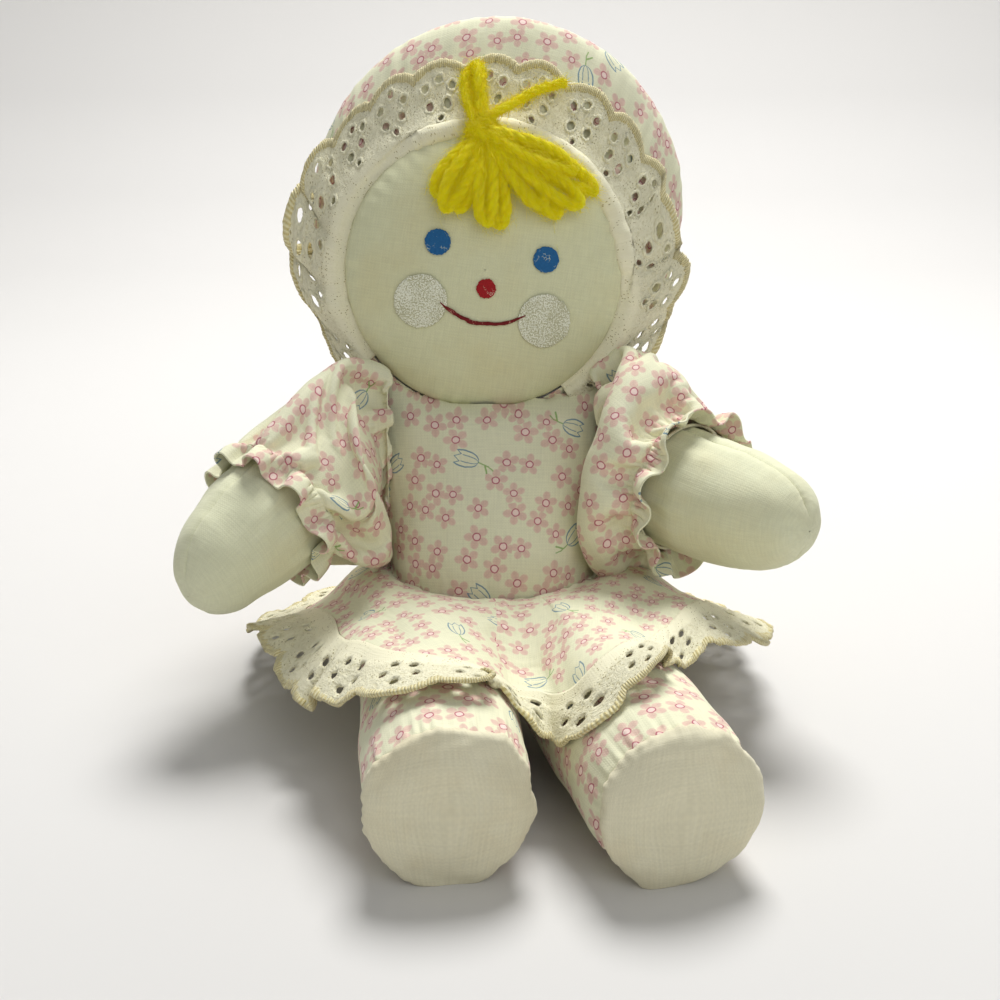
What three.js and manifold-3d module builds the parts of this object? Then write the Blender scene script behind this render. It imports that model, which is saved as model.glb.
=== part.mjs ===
// A small cloth baby doll that rattles: stuffed head with a lace-edged bonnet, printed body with puff
// sleeves and a lace-hemmed skirt, muslin arms, printed legs, and a capsule of beads in the stuffing.
// Millimetres, +Z up, the doll looks along -Y. Its own left is +X. The origin is the middle of its seat.
import * as THREE from 'three';
import { mergeVertices } from 'three/addons/utils/BufferGeometryUtils.js';
import Module from 'manifold-3d';

const wasm = await Module();
wasm.setup();

// Driving sizes
const CLOTH = 0.6; // thickness of sewn cotton
const EASE = 0.3; // gap between pieces that touch
const SEAM = 0.3; // gap between two panels at their seam

const FACE_RADIUS = 40; // seam circle of the face
const FACE_DOME = 12.5; // how far the face stands in front of its seam
const BONNET_RADIUS = 54.5; // fullest ring of the bonnet
const BONNET_RING_BACK = 17; // the fullest ring lies this far behind the face seam
const BONNET_RING_RISE = 18.7; // and this far above the middle of the face
const HEAD_DEPTH = 58; // face seam to the back of the bonnet
const HEAD_PLACE = [-3, 16, 116]; // middle of the face seam circle
const HEAD_ROLL = 9.3; // the head leans to the doll's left
const HEAD_TILT = 10; // and looks up a little
const NOD = 15; // the head nods this far each way
const NECK_HINGE = [0, 18, 77];
const TURN_CLEARANCE = 0.4; // what a turning piece keeps clear of its neighbour

const LACE_WIDTH = 23; // bonnet lace, face seam to its scalloped edge
const LACE_SWEEP = 274; // angle of the face circle that it goes round
const LACE_SCALLOP = 16.5; // one scallop along the edge
const SCALLOP_DEPTH = 1.8;
const LACE_START = 1.3; // what it keeps clear of the seam
const LACE_LIE = 1.2; // its least height over the bonnet
const LACE_RUFFLE = 2.4; // height of its waves
const LACE_FLARE = 5; // how far its edge stands off at the sides of the head
const LACE_END = 0.45; // share of its width that is left where it is drawn in at the neck

const EYE_RADIUS = 3.6;
const EYE_SIDE = 15.2;
const EYE_RISE = 6.6;
const NOSE_RADIUS = 2.7;
const NOSE_DROP = 3.9;
const CHEEK_RADIUS = 7.4;
const CHEEK_SIDE = 17.5;
const CHEEK_DROP = 10.2;
const MOUTH_HALF = 12.1;
const MOUTH_END_DROP = 9.6;
const MOUTH_SAG = 4.1;
const MOUTH_LINE = 0.5;
const FACE_SHIFT = 1.1; // the features sit this far to the doll's left of the seam circle's middle
const PRINT_HEIGHT = 0.4;

const YARN_RADIUS = 1.7;
const TIE_RADIUS = 1.53;
const KNOT_RADIUS = 5;
const YARN_LIFT = 3.4; // middle of the locks above the face

const TORSO_HEIGHT = 92;
const SHOULDER_HALF = 34.6;
const WAIST_HALF = 32;
const SEAT_HALF = 25;
const BELLY_FRONT = 28.5;
const BACK_DEPTH = 34.5;
const WAIST_HEIGHT = 32;

const ARM_HALF_WIDE = 15.2;
const ARM_HALF_HIGH = 16.2;
const ARM_FORWARD = 20; // an arm swings this far forward from rest
const ARM_BACK = 50; // and this far back, straight out to the side
const SHOULDER_Y = 6; // middle of the armholes
const SHOULDER_Z = 68;
const ARM_ROOT_OUT = 0.6; // an arm's root stands this far outside the shoulder
const ARM_SWELL = 0.05; // share by which an arm is fuller in its middle
const ARM_PINCH = 0.3; // share of the arm over which it narrows to the side seam
const HAND_LEFT = [81, -49, 60]; // middle of the tip of each hand
const HAND_RIGHT = [-80, -48, 41.5];

const LEG_HALF_WIDE = 19.6;
const LEG_HALF_HIGH = 19.5;
const LEG_FLAT = 0.5; // what the legs' undersides are flattened by
const HIP_SIDE = 18.5;
const LEG_DOWN = 70; // a leg straightens this far from sitting
const HIP_FRONT = 28; // the hip seams lie this far in front of the origin
const SOLE_DOME = 4;
const SOLE_FRONT = 114.5; // and the sole seams this far
const SOLE_LEFT_X = 41.5;
const SOLE_RIGHT_X = -10;

const ARMHOLE_HIGH = 22; // half height and half width of the armhole
const ARMHOLE_WIDE = 13;
const SLEEVE_HIGH = 26; // half height and half width of the puff
const SLEEVE_WIDE = 19;
const CUFF_AT = 0.75; // share of the sleeve at which the elastic draws it in
const CUFF_FRILL = 6; // the cloth beyond the elastic
const FRILL_FLARE = [1.2, 1.4, 2.4]; // how far the frill stands out, from the elastic to its edge
const FRILL_WAVE = [0, 0.05, 0.09]; // and how much it waves there
const ELASTIC_RADIUS = 0.5;
const ARM_FULL = ARM_HALF_HIGH * (1 + ARM_SWELL);
const ELASTIC_RING = ARM_FULL + EASE + ELASTIC_RADIUS;
const CUFF_RADIUS = ELASTIC_RING + ELASTIC_RADIUS + EASE + CLOTH / 2;

const SKIRT_LACE_SCALLOP = 17;
const SKIRT_LACE_WIDTH = 17;
const SKIRT_PUFF = 5; // how far the gathered skirt stands up below the waist
const SKIRT_HOVER = 0.7; // the skirt lies this far above the ground
const LEG_HOVER = 1.2; // and this far above the legs
const LACE_SEAM = 0.015; // the skirt and its lace each stop this share of the skirt short of their seam

const CAPSULE_RADIUS = 17;
const CAPSULE_WALL = 1.4;
const CAPSULE_PLACE = [0, 5, 42];
const CAPSULE_LIP = 1.6; // height of the snap rim round the joint
const CAPSULE_RIM = 1.3; // how far the rim stands out
const CAPSULE_JOINT = 0.1; // gap between the halves
const BEAD_RADIUS = 2.5;
const BEAD_RING = 7.5; // the outer beads stand on a ring of this radius
const BEAD_COUNT = 6;
const BEAD_RUN = 0.3; // what a bead keeps clear of the shell

// Colours
const MUSLIN = '#e9e4c6';
const SOLE_MUSLIN = '#e8dac4';
const PRINT_COTTON = '#f0dccb';
const LACE_COTTON = '#f0e9cc';
const FIBRE = '#f2efe6';
const EYE_BLUE = '#1a5f96';
const NOSE_RED = '#b01015';
const MOUTH_RED = '#8f0f14';
const CHEEK_WHITE = '#d8d8c4';
const YARN_YELLOW = '#e6d61a';
const ELASTIC_CREAM = '#efe9dc';
const SHELL_WHITE = '#dfe3e6';
const BEAD_GREY = '#c9d0d6';

// Small sums
const LEAST_HALF = 0.25; // no ring of a bag is thinner
const radians = THREE.MathUtils.degToRad;
const clamp = THREE.MathUtils.clamp;
const mix = THREE.MathUtils.lerp;
const smooth = THREE.MathUtils.smoothstep;
const vec = (x, y, z) => new THREE.Vector3(x, y, z);
const counted = (count, make) => Array.from({ length: count }, (_, i) => make(i));

// A closed mesh from triangles given by their corner points. It faces outwards.
function closedGeometry(corners) {
  const raw = new THREE.BufferGeometry();
  const places = corners.flatMap((p) => [p.x, p.y, p.z]);
  raw.setAttribute('position', new THREE.Float32BufferAttribute(places, 3));
  const merged = mergeVertices(raw, 1e-3);
  const index = Array.from(merged.index.array);
  const kept = [];
  for (let i = 0; i < index.length; i += 3) {
    const [a, b, c] = index.slice(i, i + 3);
    if (a !== b && b !== c && c !== a) kept.push(a, b, c);
  }
  merged.setIndex(kept);
  if (volumeOf(merged) < 0) {
    for (let i = 0; i < kept.length; i += 3) [kept[i], kept[i + 1]] = [kept[i + 1], kept[i]];
    merged.setIndex(kept);
  }
  merged.computeVertexNormals();
  return merged;
}

function volumeOf(geometry) {
  const place = geometry.attributes.position;
  const index = geometry.index.array;
  const [a, b, c] = [vec(0, 0, 0), vec(0, 0, 0), vec(0, 0, 0)];
  let sum = 0;
  for (let i = 0; i < index.length; i += 3) {
    a.fromBufferAttribute(place, index[i]);
    b.fromBufferAttribute(place, index[i + 1]);
    c.fromBufferAttribute(place, index[i + 2]);
    sum += a.dot(b.cross(c)) / 6;
  }
  return sum;
}

// Triangles of a grid of points, rows of equal length. A closed grid joins its last column to its first.
function gridFaces(rows, closed) {
  const corners = [];
  for (let j = 0; j + 1 < rows.length; j += 1) {
    const count = rows[j].length;
    for (let i = 0; i < (closed ? count : count - 1); i += 1) {
      const k = (i + 1) % count;
      const [a, b, c, d] = [rows[j][i], rows[j][k], rows[j + 1][k], rows[j + 1][i]];
      corners.push(a, b, c, a, c, d);
    }
  }
  return corners;
}

// A solid sheet between two grids of points, walled in along its open edges.
function sheetSolid(outer, inner, closed) {
  const last = outer.length - 1;
  const end = outer[0].length - 1;
  const corners = gridFaces(outer, closed);
  const back = gridFaces(inner, closed);
  for (let i = 0; i < back.length; i += 3) corners.push(back[i], back[i + 2], back[i + 1]);
  corners.push(...gridFaces([inner[0], outer[0]], closed));
  corners.push(...gridFaces([outer[last], inner[last]], closed));
  if (!closed) {
    corners.push(...gridFaces([outer.map((row) => row[0]), inner.map((row) => row[0])], false));
    corners.push(...gridFaces([inner.map((row) => row[end]), outer.map((row) => row[end])], false));
  }
  return closedGeometry(corners);
}

// A sheet of cloth of even thickness round a grid of points.
function clothSolid(rows, closed, thickness) {
  const lifted = (side) => rows.map((row, j) => row.map((point, i) => {
    const count = row.length;
    const before = closed ? row[(i + count - 1) % count] : row[Math.max(i - 1, 0)];
    const after = closed ? row[(i + 1) % count] : row[Math.min(i + 1, count - 1)];
    const above = rows[Math.max(j - 1, 0)][i];
    const below = rows[Math.min(j + 1, rows.length - 1)][i];
    const normal = after.clone().sub(before).cross(below.clone().sub(above)).normalize();
    return point.clone().addScaledVector(normal, side * thickness / 2);
  }));
  return sheetSolid(lifted(1), lifted(-1), closed);
}

// Stuffed bags. A bag is a length and a ring function: at a share t of the length it gives the ring's middle,
// half width and half height. It is drawn in all round by inset.
function bagPoint(bag, turn, v, inset) {
  const along = v * bag.length + inset * (1 - 2 * v);
  const ring = bag.ring(v);
  const power = bag.power ?? 1;
  const shaped = (value) => Math.sign(value) * Math.abs(value) ** power;
  const wide = Math.max(ring.wide - inset, LEAST_HALF) * shaped(Math.cos(turn));
  const high = Math.max(ring.high - inset, LEAST_HALF) * shaped(Math.sin(turn));
  return bag.toPlace(along, ring.x + wide, ring.y + high, inset);
}

function bagRow(bag, around, v, inset, arc = [0, 1]) {
  const count = arc[1] - arc[0] === 1 ? around : around + 1;
  return counted(count, (i) => {
    const turn = 2 * Math.PI * (arc[0] + (arc[1] - arc[0]) * i / around);
    return bagPoint(bag, turn, v, inset);
  });
}

function bagPole(bag, around, v, inset, arc = [0, 1]) {
  const ring = bag.ring(v);
  const middle = bag.toPlace(v * bag.length + inset * (1 - 2 * v), ring.x, ring.y, inset);
  return counted(arc[1] - arc[0] === 1 ? around : around + 1, () => middle);
}

// All the rows of a bag, from pole to pole, or of a part of it that is left open at a seam.
function bagRows(bag, around, stations, inset, { arc = [0, 1], start = true, finish = true } = {}) {
  const rows = stations.map((v) => bagRow(bag, around, v, inset, arc));
  if (start) rows.unshift(bagPole(bag, around, 0, inset, arc));
  if (finish) rows.push(bagPole(bag, around, 1, inset, arc));
  return rows;
}

function bagSolid(bag, around, stations, inset) {
  return closedGeometry(gridFaces(bagRows(bag, around, stations, inset), true));
}

function bagCover(bag, around, stations, options = {}) {
  const closed = !options.arc;
  const outer = bagRows(bag, around, stations, 0, options);
  const inner = bagRows(bag, around, stations, CLOTH, options);
  return sheetSolid(outer, inner, closed);
}

// Cutting and joining
function solidOf(geometry, matrix) {
  const copy = geometry.clone();
  if (matrix) copy.applyMatrix4(matrix);
  copy.deleteAttribute('normal');
  copy.deleteAttribute('uv');
  const merged = mergeVertices(copy, 1e-4);
  const vertProperties = new Float32Array(merged.attributes.position.array);
  const triVerts = new Uint32Array(merged.index.array);
  return new wasm.Manifold(new wasm.Mesh({ numProp: 3, vertProperties, triVerts }));
}

// The largest body of a solid, as a geometry, in the frame that matrix leads out of. A cut can leave slivers,
// some of which only come apart once their corners are rounded, so the largest is taken twice.
function geometryOf(solid, matrix) {
  const largest = (whole) => whole.decompose().sort((a, b) => b.volume() - a.volume())[0];
  const mesh = largest(new wasm.Manifold(largest(solid).getMesh())).getMesh();
  const geometry = new THREE.BufferGeometry();
  geometry.setAttribute('position', new THREE.Float32BufferAttribute(mesh.vertProperties, 3));
  geometry.setIndex(Array.from(mesh.triVerts));
  if (matrix) geometry.applyMatrix4(matrix.clone().invert());
  geometry.computeVertexNormals();
  return geometry;
}

// A round tube along a curve, with flat ends.
function tube(curve, radius, steps, sides) {
  const section = new THREE.Shape(counted(sides, (i) => {
    const turn = 2 * Math.PI * i / sides;
    return new THREE.Vector2(radius * Math.cos(turn), radius * Math.sin(turn));
  }));
  return new THREE.ExtrudeGeometry(section, { steps, extrudePath: curve, bevelEnabled: false });
}

const doll = new THREE.Group();
const head = new THREE.Group();
doll.add(head);

function addPiece(parent, name, geometry, color, roughness = 0.9) {
  const mesh = new THREE.Mesh(geometry, new THREE.MeshStandardMaterial({ color, roughness, metalness: 0 }));
  mesh.name = name;
  parent.add(mesh);
  return mesh;
}

// Head
head.position.set(...HEAD_PLACE);
head.rotation.set(radians(-HEAD_TILT), radians(HEAD_ROLL), 0, 'YXZ');
head.updateMatrixWorld(true);

// The bonnet's front swells out of the face seam, as a quarter of an ellipse that is this deep.
const SWELL = BONNET_RING_BACK / Math.sqrt(1 - (FACE_RADIUS / BONNET_RADIUS) ** 2);
const headBag = {
  length: FACE_DOME + HEAD_DEPTH,
  ring(t) {
    const y = t * (FACE_DOME + HEAD_DEPTH) - FACE_DOME;
    if (y <= 0) {
      const radius = FACE_RADIUS * Math.sqrt(Math.max(0, 1 - (y / FACE_DOME) ** 2));
      return { x: 0, y: 0, wide: radius, high: radius };
    }
    const half = y < BONNET_RING_BACK ? SWELL : HEAD_DEPTH - BONNET_RING_BACK;
    const radius = BONNET_RADIUS * Math.sqrt(Math.max(0, 1 - ((y - BONNET_RING_BACK) / half) ** 2));
    const rise = BONNET_RING_RISE * smooth(y, 0, BONNET_RING_BACK);
    const settle = mix(1, 0.6, smooth(y, BONNET_RING_BACK, HEAD_DEPTH));
    return { x: 0.1 * rise, y: rise * settle, wide: radius, high: radius };
  },
  toPlace: (along, across, up) => vec(across, along - FACE_DOME, up),
};
const HEAD_AROUND = 26;
const seamAt = (y) => (y + FACE_DOME) / headBag.length;
const faceStations = [0.02, 0.06, seamAt(-4.5), seamAt(-SEAM / 2)];
const bonnetStations = [seamAt(SEAM / 2), 0.21, 0.27, 0.36, 0.48, 0.64, 0.82, 0.95];
const headStations = [...faceStations.slice(0, -1), seamAt(0), ...bonnetStations.slice(1)];
const facePanel = bagCover(headBag, HEAD_AROUND, faceStations, { finish: false });
const bonnetCrown = bagCover(headBag, HEAD_AROUND, bonnetStations, { start: false });
addPiece(head, 'face_panel', facePanel, MUSLIN);
addPiece(head, 'bonnet_crown', bonnetCrown, PRINT_COTTON);
addPiece(head, 'head_filling', bagSolid(headBag, HEAD_AROUND, headStations, CLOTH + EASE), FIBRE);

// A point of the face's dome, lifted off it
function facePoint(x, z, lift) {
  const depth = Math.sqrt(Math.max(0.02, 1 - (x * x + z * z) / FACE_RADIUS ** 2));
  const normal = vec(x / FACE_RADIUS ** 2, -depth / FACE_DOME, z / FACE_RADIUS ** 2).normalize();
  return vec(x, -FACE_DOME * depth, z).addScaledVector(normal, lift);
}

// A printed dot: a thin raised disc that follows the face
function facePrint(x, z, radius) {
  const sides = 16;
  const layer = (lift) => [0, 1].map((share) => counted(sides, (i) => {
    const turn = 2 * Math.PI * i / sides;
    const reach = share * radius;
    return facePoint(x + reach * Math.cos(turn), z + reach * Math.sin(turn), lift);
  }));
  return sheetSolid(layer(EASE + PRINT_HEIGHT), layer(EASE), true);
}

addPiece(head, 'nose_print', facePrint(FACE_SHIFT, -NOSE_DROP, NOSE_RADIUS), NOSE_RED, 0.7);

// The smile is a parabola between its two ends.
const smile = new THREE.CatmullRomCurve3(counted(9, (i) => {
  const across = mix(-1, 1, i / 8);
  const drop = MOUTH_END_DROP + MOUTH_SAG * (1 - across ** 2);
  return facePoint(FACE_SHIFT + across * MOUTH_HALF, -drop, EASE + MOUTH_LINE);
}));
addPiece(head, 'mouth_print', tube(smile, MOUTH_LINE, 12, 6), MOUTH_RED, 0.7);
const smileRoom = solidOf(tube(smile, MOUTH_LINE + EASE, 12, 6));

for (const [side, sign] of [['left', 1], ['right', -1]]) {
  const eye = facePrint(FACE_SHIFT + sign * EYE_SIDE, EYE_RISE, EYE_RADIUS);
  const cheek = solidOf(facePrint(FACE_SHIFT + sign * CHEEK_SIDE, -CHEEK_DROP, CHEEK_RADIUS));
  addPiece(head, `eye_print_${side}`, eye, EYE_BLUE, 0.7);
  addPiece(head, `cheek_print_${side}`, geometryOf(cheek.subtract(smileRoom)), CHEEK_WHITE, 0.95);
}

// The bonnet's surface in front of its fullest ring: a point at a distance from the seam, and its normal
function bonnetPoint(turn, distance) {
  const cuts = 48;
  const place = (share) => {
    const y = share * (BONNET_RING_BACK + 12);
    const ring = headBag.ring(seamAt(Math.max(y, 0.001)));
    return vec(ring.x + ring.wide * Math.cos(turn), y, ring.y + ring.high * Math.sin(turn));
  };
  let walked = 0;
  let point = place(0);
  let step = vec(0, 1, 0);
  for (let i = 1; i <= cuts && walked < distance; i += 1) {
    const next = place(i / cuts);
    const stride = next.distanceTo(point);
    step = next.clone().sub(point).normalize();
    const share = Math.min(1, (distance - walked) / stride);
    point = point.clone().lerp(next, share);
    walked += stride;
  }
  const sideways = vec(-Math.sin(turn), 0, Math.cos(turn));
  return { point, normal: step.clone().cross(sideways).normalize() };
}

// Bonnet lace: it starts just in front of the face seam and lies back over the bonnet in a soft ruffle.
const laceLength = radians(LACE_SWEEP) * (FACE_RADIUS + 0.6 * LACE_WIDTH);
const laceScallops = Math.round(laceLength / LACE_SCALLOP);
const laceRows = counted(3, (j) => {
  const columns = laceScallops * 4;
  return counted(columns + 1, (i) => {
    const share = i / columns;
    const turn = radians(90 + LACE_SWEEP * (share - 0.5));
    const scallop = Math.abs(Math.sin(Math.PI * laceScallops * share));
    const side = Math.abs(share - 0.5) * 2;
    const width = LACE_WIDTH * mix(1, LACE_END, smooth(side, 0.75, 1)) - SCALLOP_DEPTH * (1 - scallop);
    const across = j / 2;
    const { point, normal } = bonnetPoint(turn, LACE_START + across * width);
    const wave = 0.5 + 0.5 * Math.cos(Math.PI * laceScallops * share + 0.6);
    const flare = LACE_FLARE * smooth(side, 0.45, 0.75) * across ** 2;
    return point.addScaledVector(normal, LACE_LIE + LACE_RUFFLE * wave * across + flare);
  });
});
const laceSheet = solidOf(clothSolid(laceRows, false, CLOTH), head.matrixWorld);
const laceRoom = solidOf(clothSolid(laceRows, false, CLOTH + 2 * EASE), head.matrixWorld);
const headAtRest = solidOf(bagSolid(headBag, HEAD_AROUND, headStations, -EASE), head.matrixWorld);

// Forelock: loops of yarn out of one knot at the top of the face, as x and z on the face. A loop's bow is
// half its width.
const knot = { x: -6, z: 34.6 };
const locks = [
  { tip: [-16.5, 16], bow: 3.6 },
  { tip: [-12, 12.6], bow: 2.6 },
  { tip: [-1.5, 12.8], bow: 2.6 },
  { tip: [4, 13.4], bow: 2.6 },
  { tip: [12.5, 18], bow: 2.8 },
  { tip: [17.5, 19], bow: 3 },
  { tip: [24, 28], bow: 3.6 },
];

// A point above the face, or above the lace past the face's rim
function hairPoint(x, z, lift) {
  const reach = Math.hypot(x, z);
  const limit = FACE_RADIUS - 4;
  if (reach < limit) return facePoint(x, z, lift);
  const rim = facePoint(x * limit / reach, z * limit / reach, lift);
  const over = reach - limit;
  const { point, normal } = bonnetPoint(Math.atan2(z, x), over);
  const height = LACE_LIE + LACE_RUFFLE / 2 + YARN_RADIUS + lift;
  return rim.lerp(point.addScaledVector(normal, height), clamp(over / 9, 0, 1));
}

function yarnLoop({ tip, bow }, lift) {
  const along = new THREE.Vector2(tip[0] - knot.x, tip[1] - knot.z);
  const across = new THREE.Vector2(-along.y, along.x).normalize();
  const path = new THREE.CatmullRomCurve3(counted(9, (i) => {
    const turn = 2 * Math.PI * i / 8;
    const reach = 0.5 - 0.5 * Math.cos(turn);
    const off = bow * Math.sin(turn) * Math.min(1, 0.35 + reach);
    const x = knot.x + along.x * reach + across.x * off;
    const z = knot.z + along.y * reach + across.y * off;
    return hairPoint(x, z, lift + 1.5 * Math.sin(Math.PI * reach));
  }));
  return tube(path, YARN_RADIUS, 11, 5);
}
const knotPlace = hairPoint(knot.x, knot.z, YARN_LIFT + 1);
const knotBall = new THREE.SphereGeometry(KNOT_RADIUS, 10, 6);
knotBall.scale(1, 0.6, 0.8);
knotBall.translate(...knotPlace);
const bundle = locks.reduce(
  (joined, lock, i) => joined.add(solidOf(yarnLoop(lock, YARN_LIFT + 0.5 * (i % 2)))),
  solidOf(knotBall),
);

// The tie: a standing loop, a wrap over the knot and a loose tail, one yarn
const tiePath = new THREE.CatmullRomCurve3([
  hairPoint(-8.6, 38, 3.6),
  hairPoint(-12.6, 43.5, 1.4),
  hairPoint(-15.6, 48, 0.4),
  hairPoint(-14.2, 51.6, 0.4),
  hairPoint(-11.4, 48.5, 1.6),
  hairPoint(-8.6, 42.5, 3.2),
  hairPoint(-5.4, 39.2, 4),
  hairPoint(0, 43.2, 3),
  hairPoint(7, 48.4, 1),
  hairPoint(14.4, 52, 0.2),
]);
const tie = solidOf(tube(tiePath, TIE_RADIUS, 30, 6));
addPiece(head, 'forelock_tie', geometryOf(tie), YARN_YELLOW, 0.95);
const tieRoom = solidOf(tube(tiePath, TIE_RADIUS + EASE, 30, 6));
addPiece(head, 'forelock_loops', geometryOf(bundle.subtract(tieRoom)), YARN_YELLOW, 0.95);

// Torso. Its rings, from the top down: height, half width, front and back.
const torsoRings = new THREE.CatmullRomCurve3([
  vec(SHOULDER_HALF - 5, 12, 24),
  vec(SHOULDER_HALF, 5, 29),
  vec(SHOULDER_HALF, -5, 32),
  vec(mix(SHOULDER_HALF, WAIST_HALF, 0.6), -17, BACK_DEPTH - 0.5),
  vec(WAIST_HALF, -25, BACK_DEPTH),
  vec(WAIST_HALF, -BELLY_FRONT, BACK_DEPTH),
  vec(WAIST_HALF - 1, 1.5 - BELLY_FRONT, BACK_DEPTH - 1),
  vec(WAIST_HALF - 4, 7.5 - BELLY_FRONT, BACK_DEPTH - 3.5),
  vec(SEAT_HALF, 13.5 - BELLY_FRONT, BACK_DEPTH - 7.5),
]);
const torsoHeights = [1, 0.935, 0.81, 0.63, 0.46, 0.33, 0.18, 0.06, 0];
const torsoBag = {
  length: TORSO_HEIGHT,
  power: 0.9,
  ring(t) {
    const height = 1 - t;
    let i = 0;
    while (i < torsoHeights.length - 2 && torsoHeights[i + 1] > height) i += 1;
    const share = (torsoHeights[i] - height) / (torsoHeights[i] - torsoHeights[i + 1]);
    const ring = torsoRings.getPoint((i + share) / (torsoHeights.length - 1));
    return { x: 0, y: (ring.y + ring.z) / 2, wide: ring.x, high: (ring.z - ring.y) / 2 };
  },
  toPlace: (along, across, deep) => vec(across, deep, TORSO_HEIGHT - along),
};
const TORSO_AROUND = 20;
const torsoStations = [0, 0.05, 0.13, 0.25, 0.4, 0.54, 0.67, 0.8, 0.92, 1];
const SIDE_SEAM = 0.001; // half the gap at a side seam, as a share of the way round
// The seat's middle is on the back panel: the panels meet in front of it.
const SEAT_SEAM_Y = -10;
const seatPole = (inset) => vec(0, SEAT_SEAM_Y, inset);
function torsoPanel(arc, seamShift) {
  const rows = (inset) => {
    const made = bagRows(torsoBag, TORSO_AROUND / 2, torsoStations, inset, { arc });
    const pole = seatPole(inset).add(vec(0, seamShift, 0));
    made[made.length - 1] = made[made.length - 1].map(() => pole);
    return made;
  };
  return sheetSolid(rows(0), rows(CLOTH), false);
}

// The room that a piece needs as it turns about a hinge: its form joined to itself at steps of the turn
function roomOfTurn(geometry, matrix, hinge, axis, from, to, steps) {
  const there = new THREE.Matrix4().makeTranslation(...hinge);
  return counted(steps + 1, (i) => {
    const turn = new THREE.Matrix4().makeRotationAxis(axis, radians(mix(from, to, i / steps)));
    const whole = there.clone().multiply(turn).multiply(there.clone().invert()).multiply(matrix);
    return solidOf(geometry, whole);
  }).reduce((joined, one) => joined.add(one));
}
const headRoom = bagSolid(headBag, HEAD_AROUND, headStations, -TURN_CLEARANCE);
const headPath = roomOfTurn(headRoom, head.matrixWorld, NECK_HINGE, vec(1, 0, 0), -NOD, NOD, 6);

const bodiceFront = solidOf(torsoPanel([0.5 + SIDE_SEAM, 1 - SIDE_SEAM], -SEAM)).subtract(headPath);
const bodiceBack = solidOf(torsoPanel([SIDE_SEAM, 0.5 - SIDE_SEAM], SEAM)).subtract(headPath);
addPiece(doll, 'bodice_front', geometryOf(bodiceFront), PRINT_COTTON);
addPiece(doll, 'bodice_back', geometryOf(bodiceBack), PRINT_COTTON);

// Stuffing in two halves round the rattle
const capsuleAt = new THREE.Matrix4().makeTranslation(...CAPSULE_PLACE);
const capsuleBall = new THREE.SphereGeometry(CAPSULE_RADIUS + CAPSULE_RIM + 2 * EASE, 20, 10);
const capsuleRoom = solidOf(capsuleBall, capsuleAt);
const stuffing = solidOf(bagSolid(torsoBag, TORSO_AROUND, torsoStations, CLOTH + EASE));
const hollowed = stuffing.subtract(headPath).subtract(capsuleRoom);
function halfSpace(sign) {
  const side = 2 * TORSO_HEIGHT;
  const block = new THREE.BoxGeometry(side, side, side);
  block.translate(0, CAPSULE_PLACE[1] + sign * (side + SEAM) / 2, side / 2 - EASE);
  return solidOf(block);
}
addPiece(doll, 'torso_filling_front', geometryOf(hollowed.intersect(halfSpace(-1))), FIBRE);
addPiece(doll, 'torso_filling_back', geometryOf(hollowed.intersect(halfSpace(1))), FIBRE);

// Rattle capsule: two turned half shells with a snap rim, and its beads
function halfShell(sign) {
  const inner = CAPSULE_RADIUS - CAPSULE_WALL;
  const cuts = 6;
  const outerArc = counted(cuts + 1, (i) => {
    const turn = (Math.PI / 2) * (1 - i / cuts);
    return new THREE.Vector2(CAPSULE_RADIUS * Math.sin(turn), CAPSULE_RADIUS * Math.cos(turn));
  });
  const innerArc = counted(cuts + 1, (i) => {
    const turn = (Math.PI / 2) * (i / cuts);
    return new THREE.Vector2(inner * Math.sin(turn), inner * Math.cos(turn));
  });
  const rim = CAPSULE_RADIUS + CAPSULE_RIM;
  const profile = [
    new THREE.Vector2(rim, 0),
    new THREE.Vector2(rim, CAPSULE_LIP),
    new THREE.Vector2(CAPSULE_RADIUS - 0.2, CAPSULE_LIP),
    ...outerArc.slice(2),
    ...innerArc,
    new THREE.Vector2(rim, 0),
  ];
  profile.forEach((p) => { if (p.x < 1e-6) p.x = 0; });
  const shell = new THREE.LatheGeometry(profile, 20);
  shell.deleteAttribute('normal');
  shell.deleteAttribute('uv');
  const merged = mergeVertices(shell, 1e-4).toNonIndexed();
  const place = merged.attributes.position;
  const corners = counted(place.count, (i) => vec(place.getX(i), sign * place.getZ(i), sign * place.getY(i)));
  const geometry = closedGeometry(corners);
  geometry.translate(0, 0, sign * CAPSULE_JOINT / 2);
  return geometry;
}
const capsule = new THREE.Group();
capsule.position.set(...CAPSULE_PLACE);
doll.add(capsule);
addPiece(capsule, 'rattle_shell_upper', halfShell(1), SHELL_WHITE, 0.4);
addPiece(capsule, 'rattle_shell_lower', halfShell(-1), SHELL_WHITE, 0.4);
const beadRoom = CAPSULE_RADIUS - CAPSULE_WALL - BEAD_RADIUS - BEAD_RUN;
for (let i = 0; i < BEAD_COUNT; i += 1) {
  const bead = new THREE.SphereGeometry(BEAD_RADIUS, 8, 6);
  const ring = i === 0 ? 0 : BEAD_RING;
  const turn = 2 * Math.PI * i / (BEAD_COUNT - 1);
  const low = Math.sqrt(beadRoom ** 2 - ring ** 2);
  const mesh = addPiece(capsule, `rattle_bead_${i + 1}`, bead, BEAD_GREY, 0.35);
  mesh.position.set(ring * Math.cos(turn), ring * Math.sin(turn), -low);
}

// Limbs lie along the x axis of their own group.
function limbGroup(from, to) {
  const group = new THREE.Group();
  const along = to.clone().sub(from).normalize();
  const across = vec(0, 0, 1).cross(along).normalize();
  const up = along.clone().cross(across);
  group.quaternion.setFromRotationMatrix(new THREE.Matrix4().makeBasis(along, across, up));
  group.position.copy(from);
  doll.add(group);
  group.updateMatrixWorld(true);
  return group;
}

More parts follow.
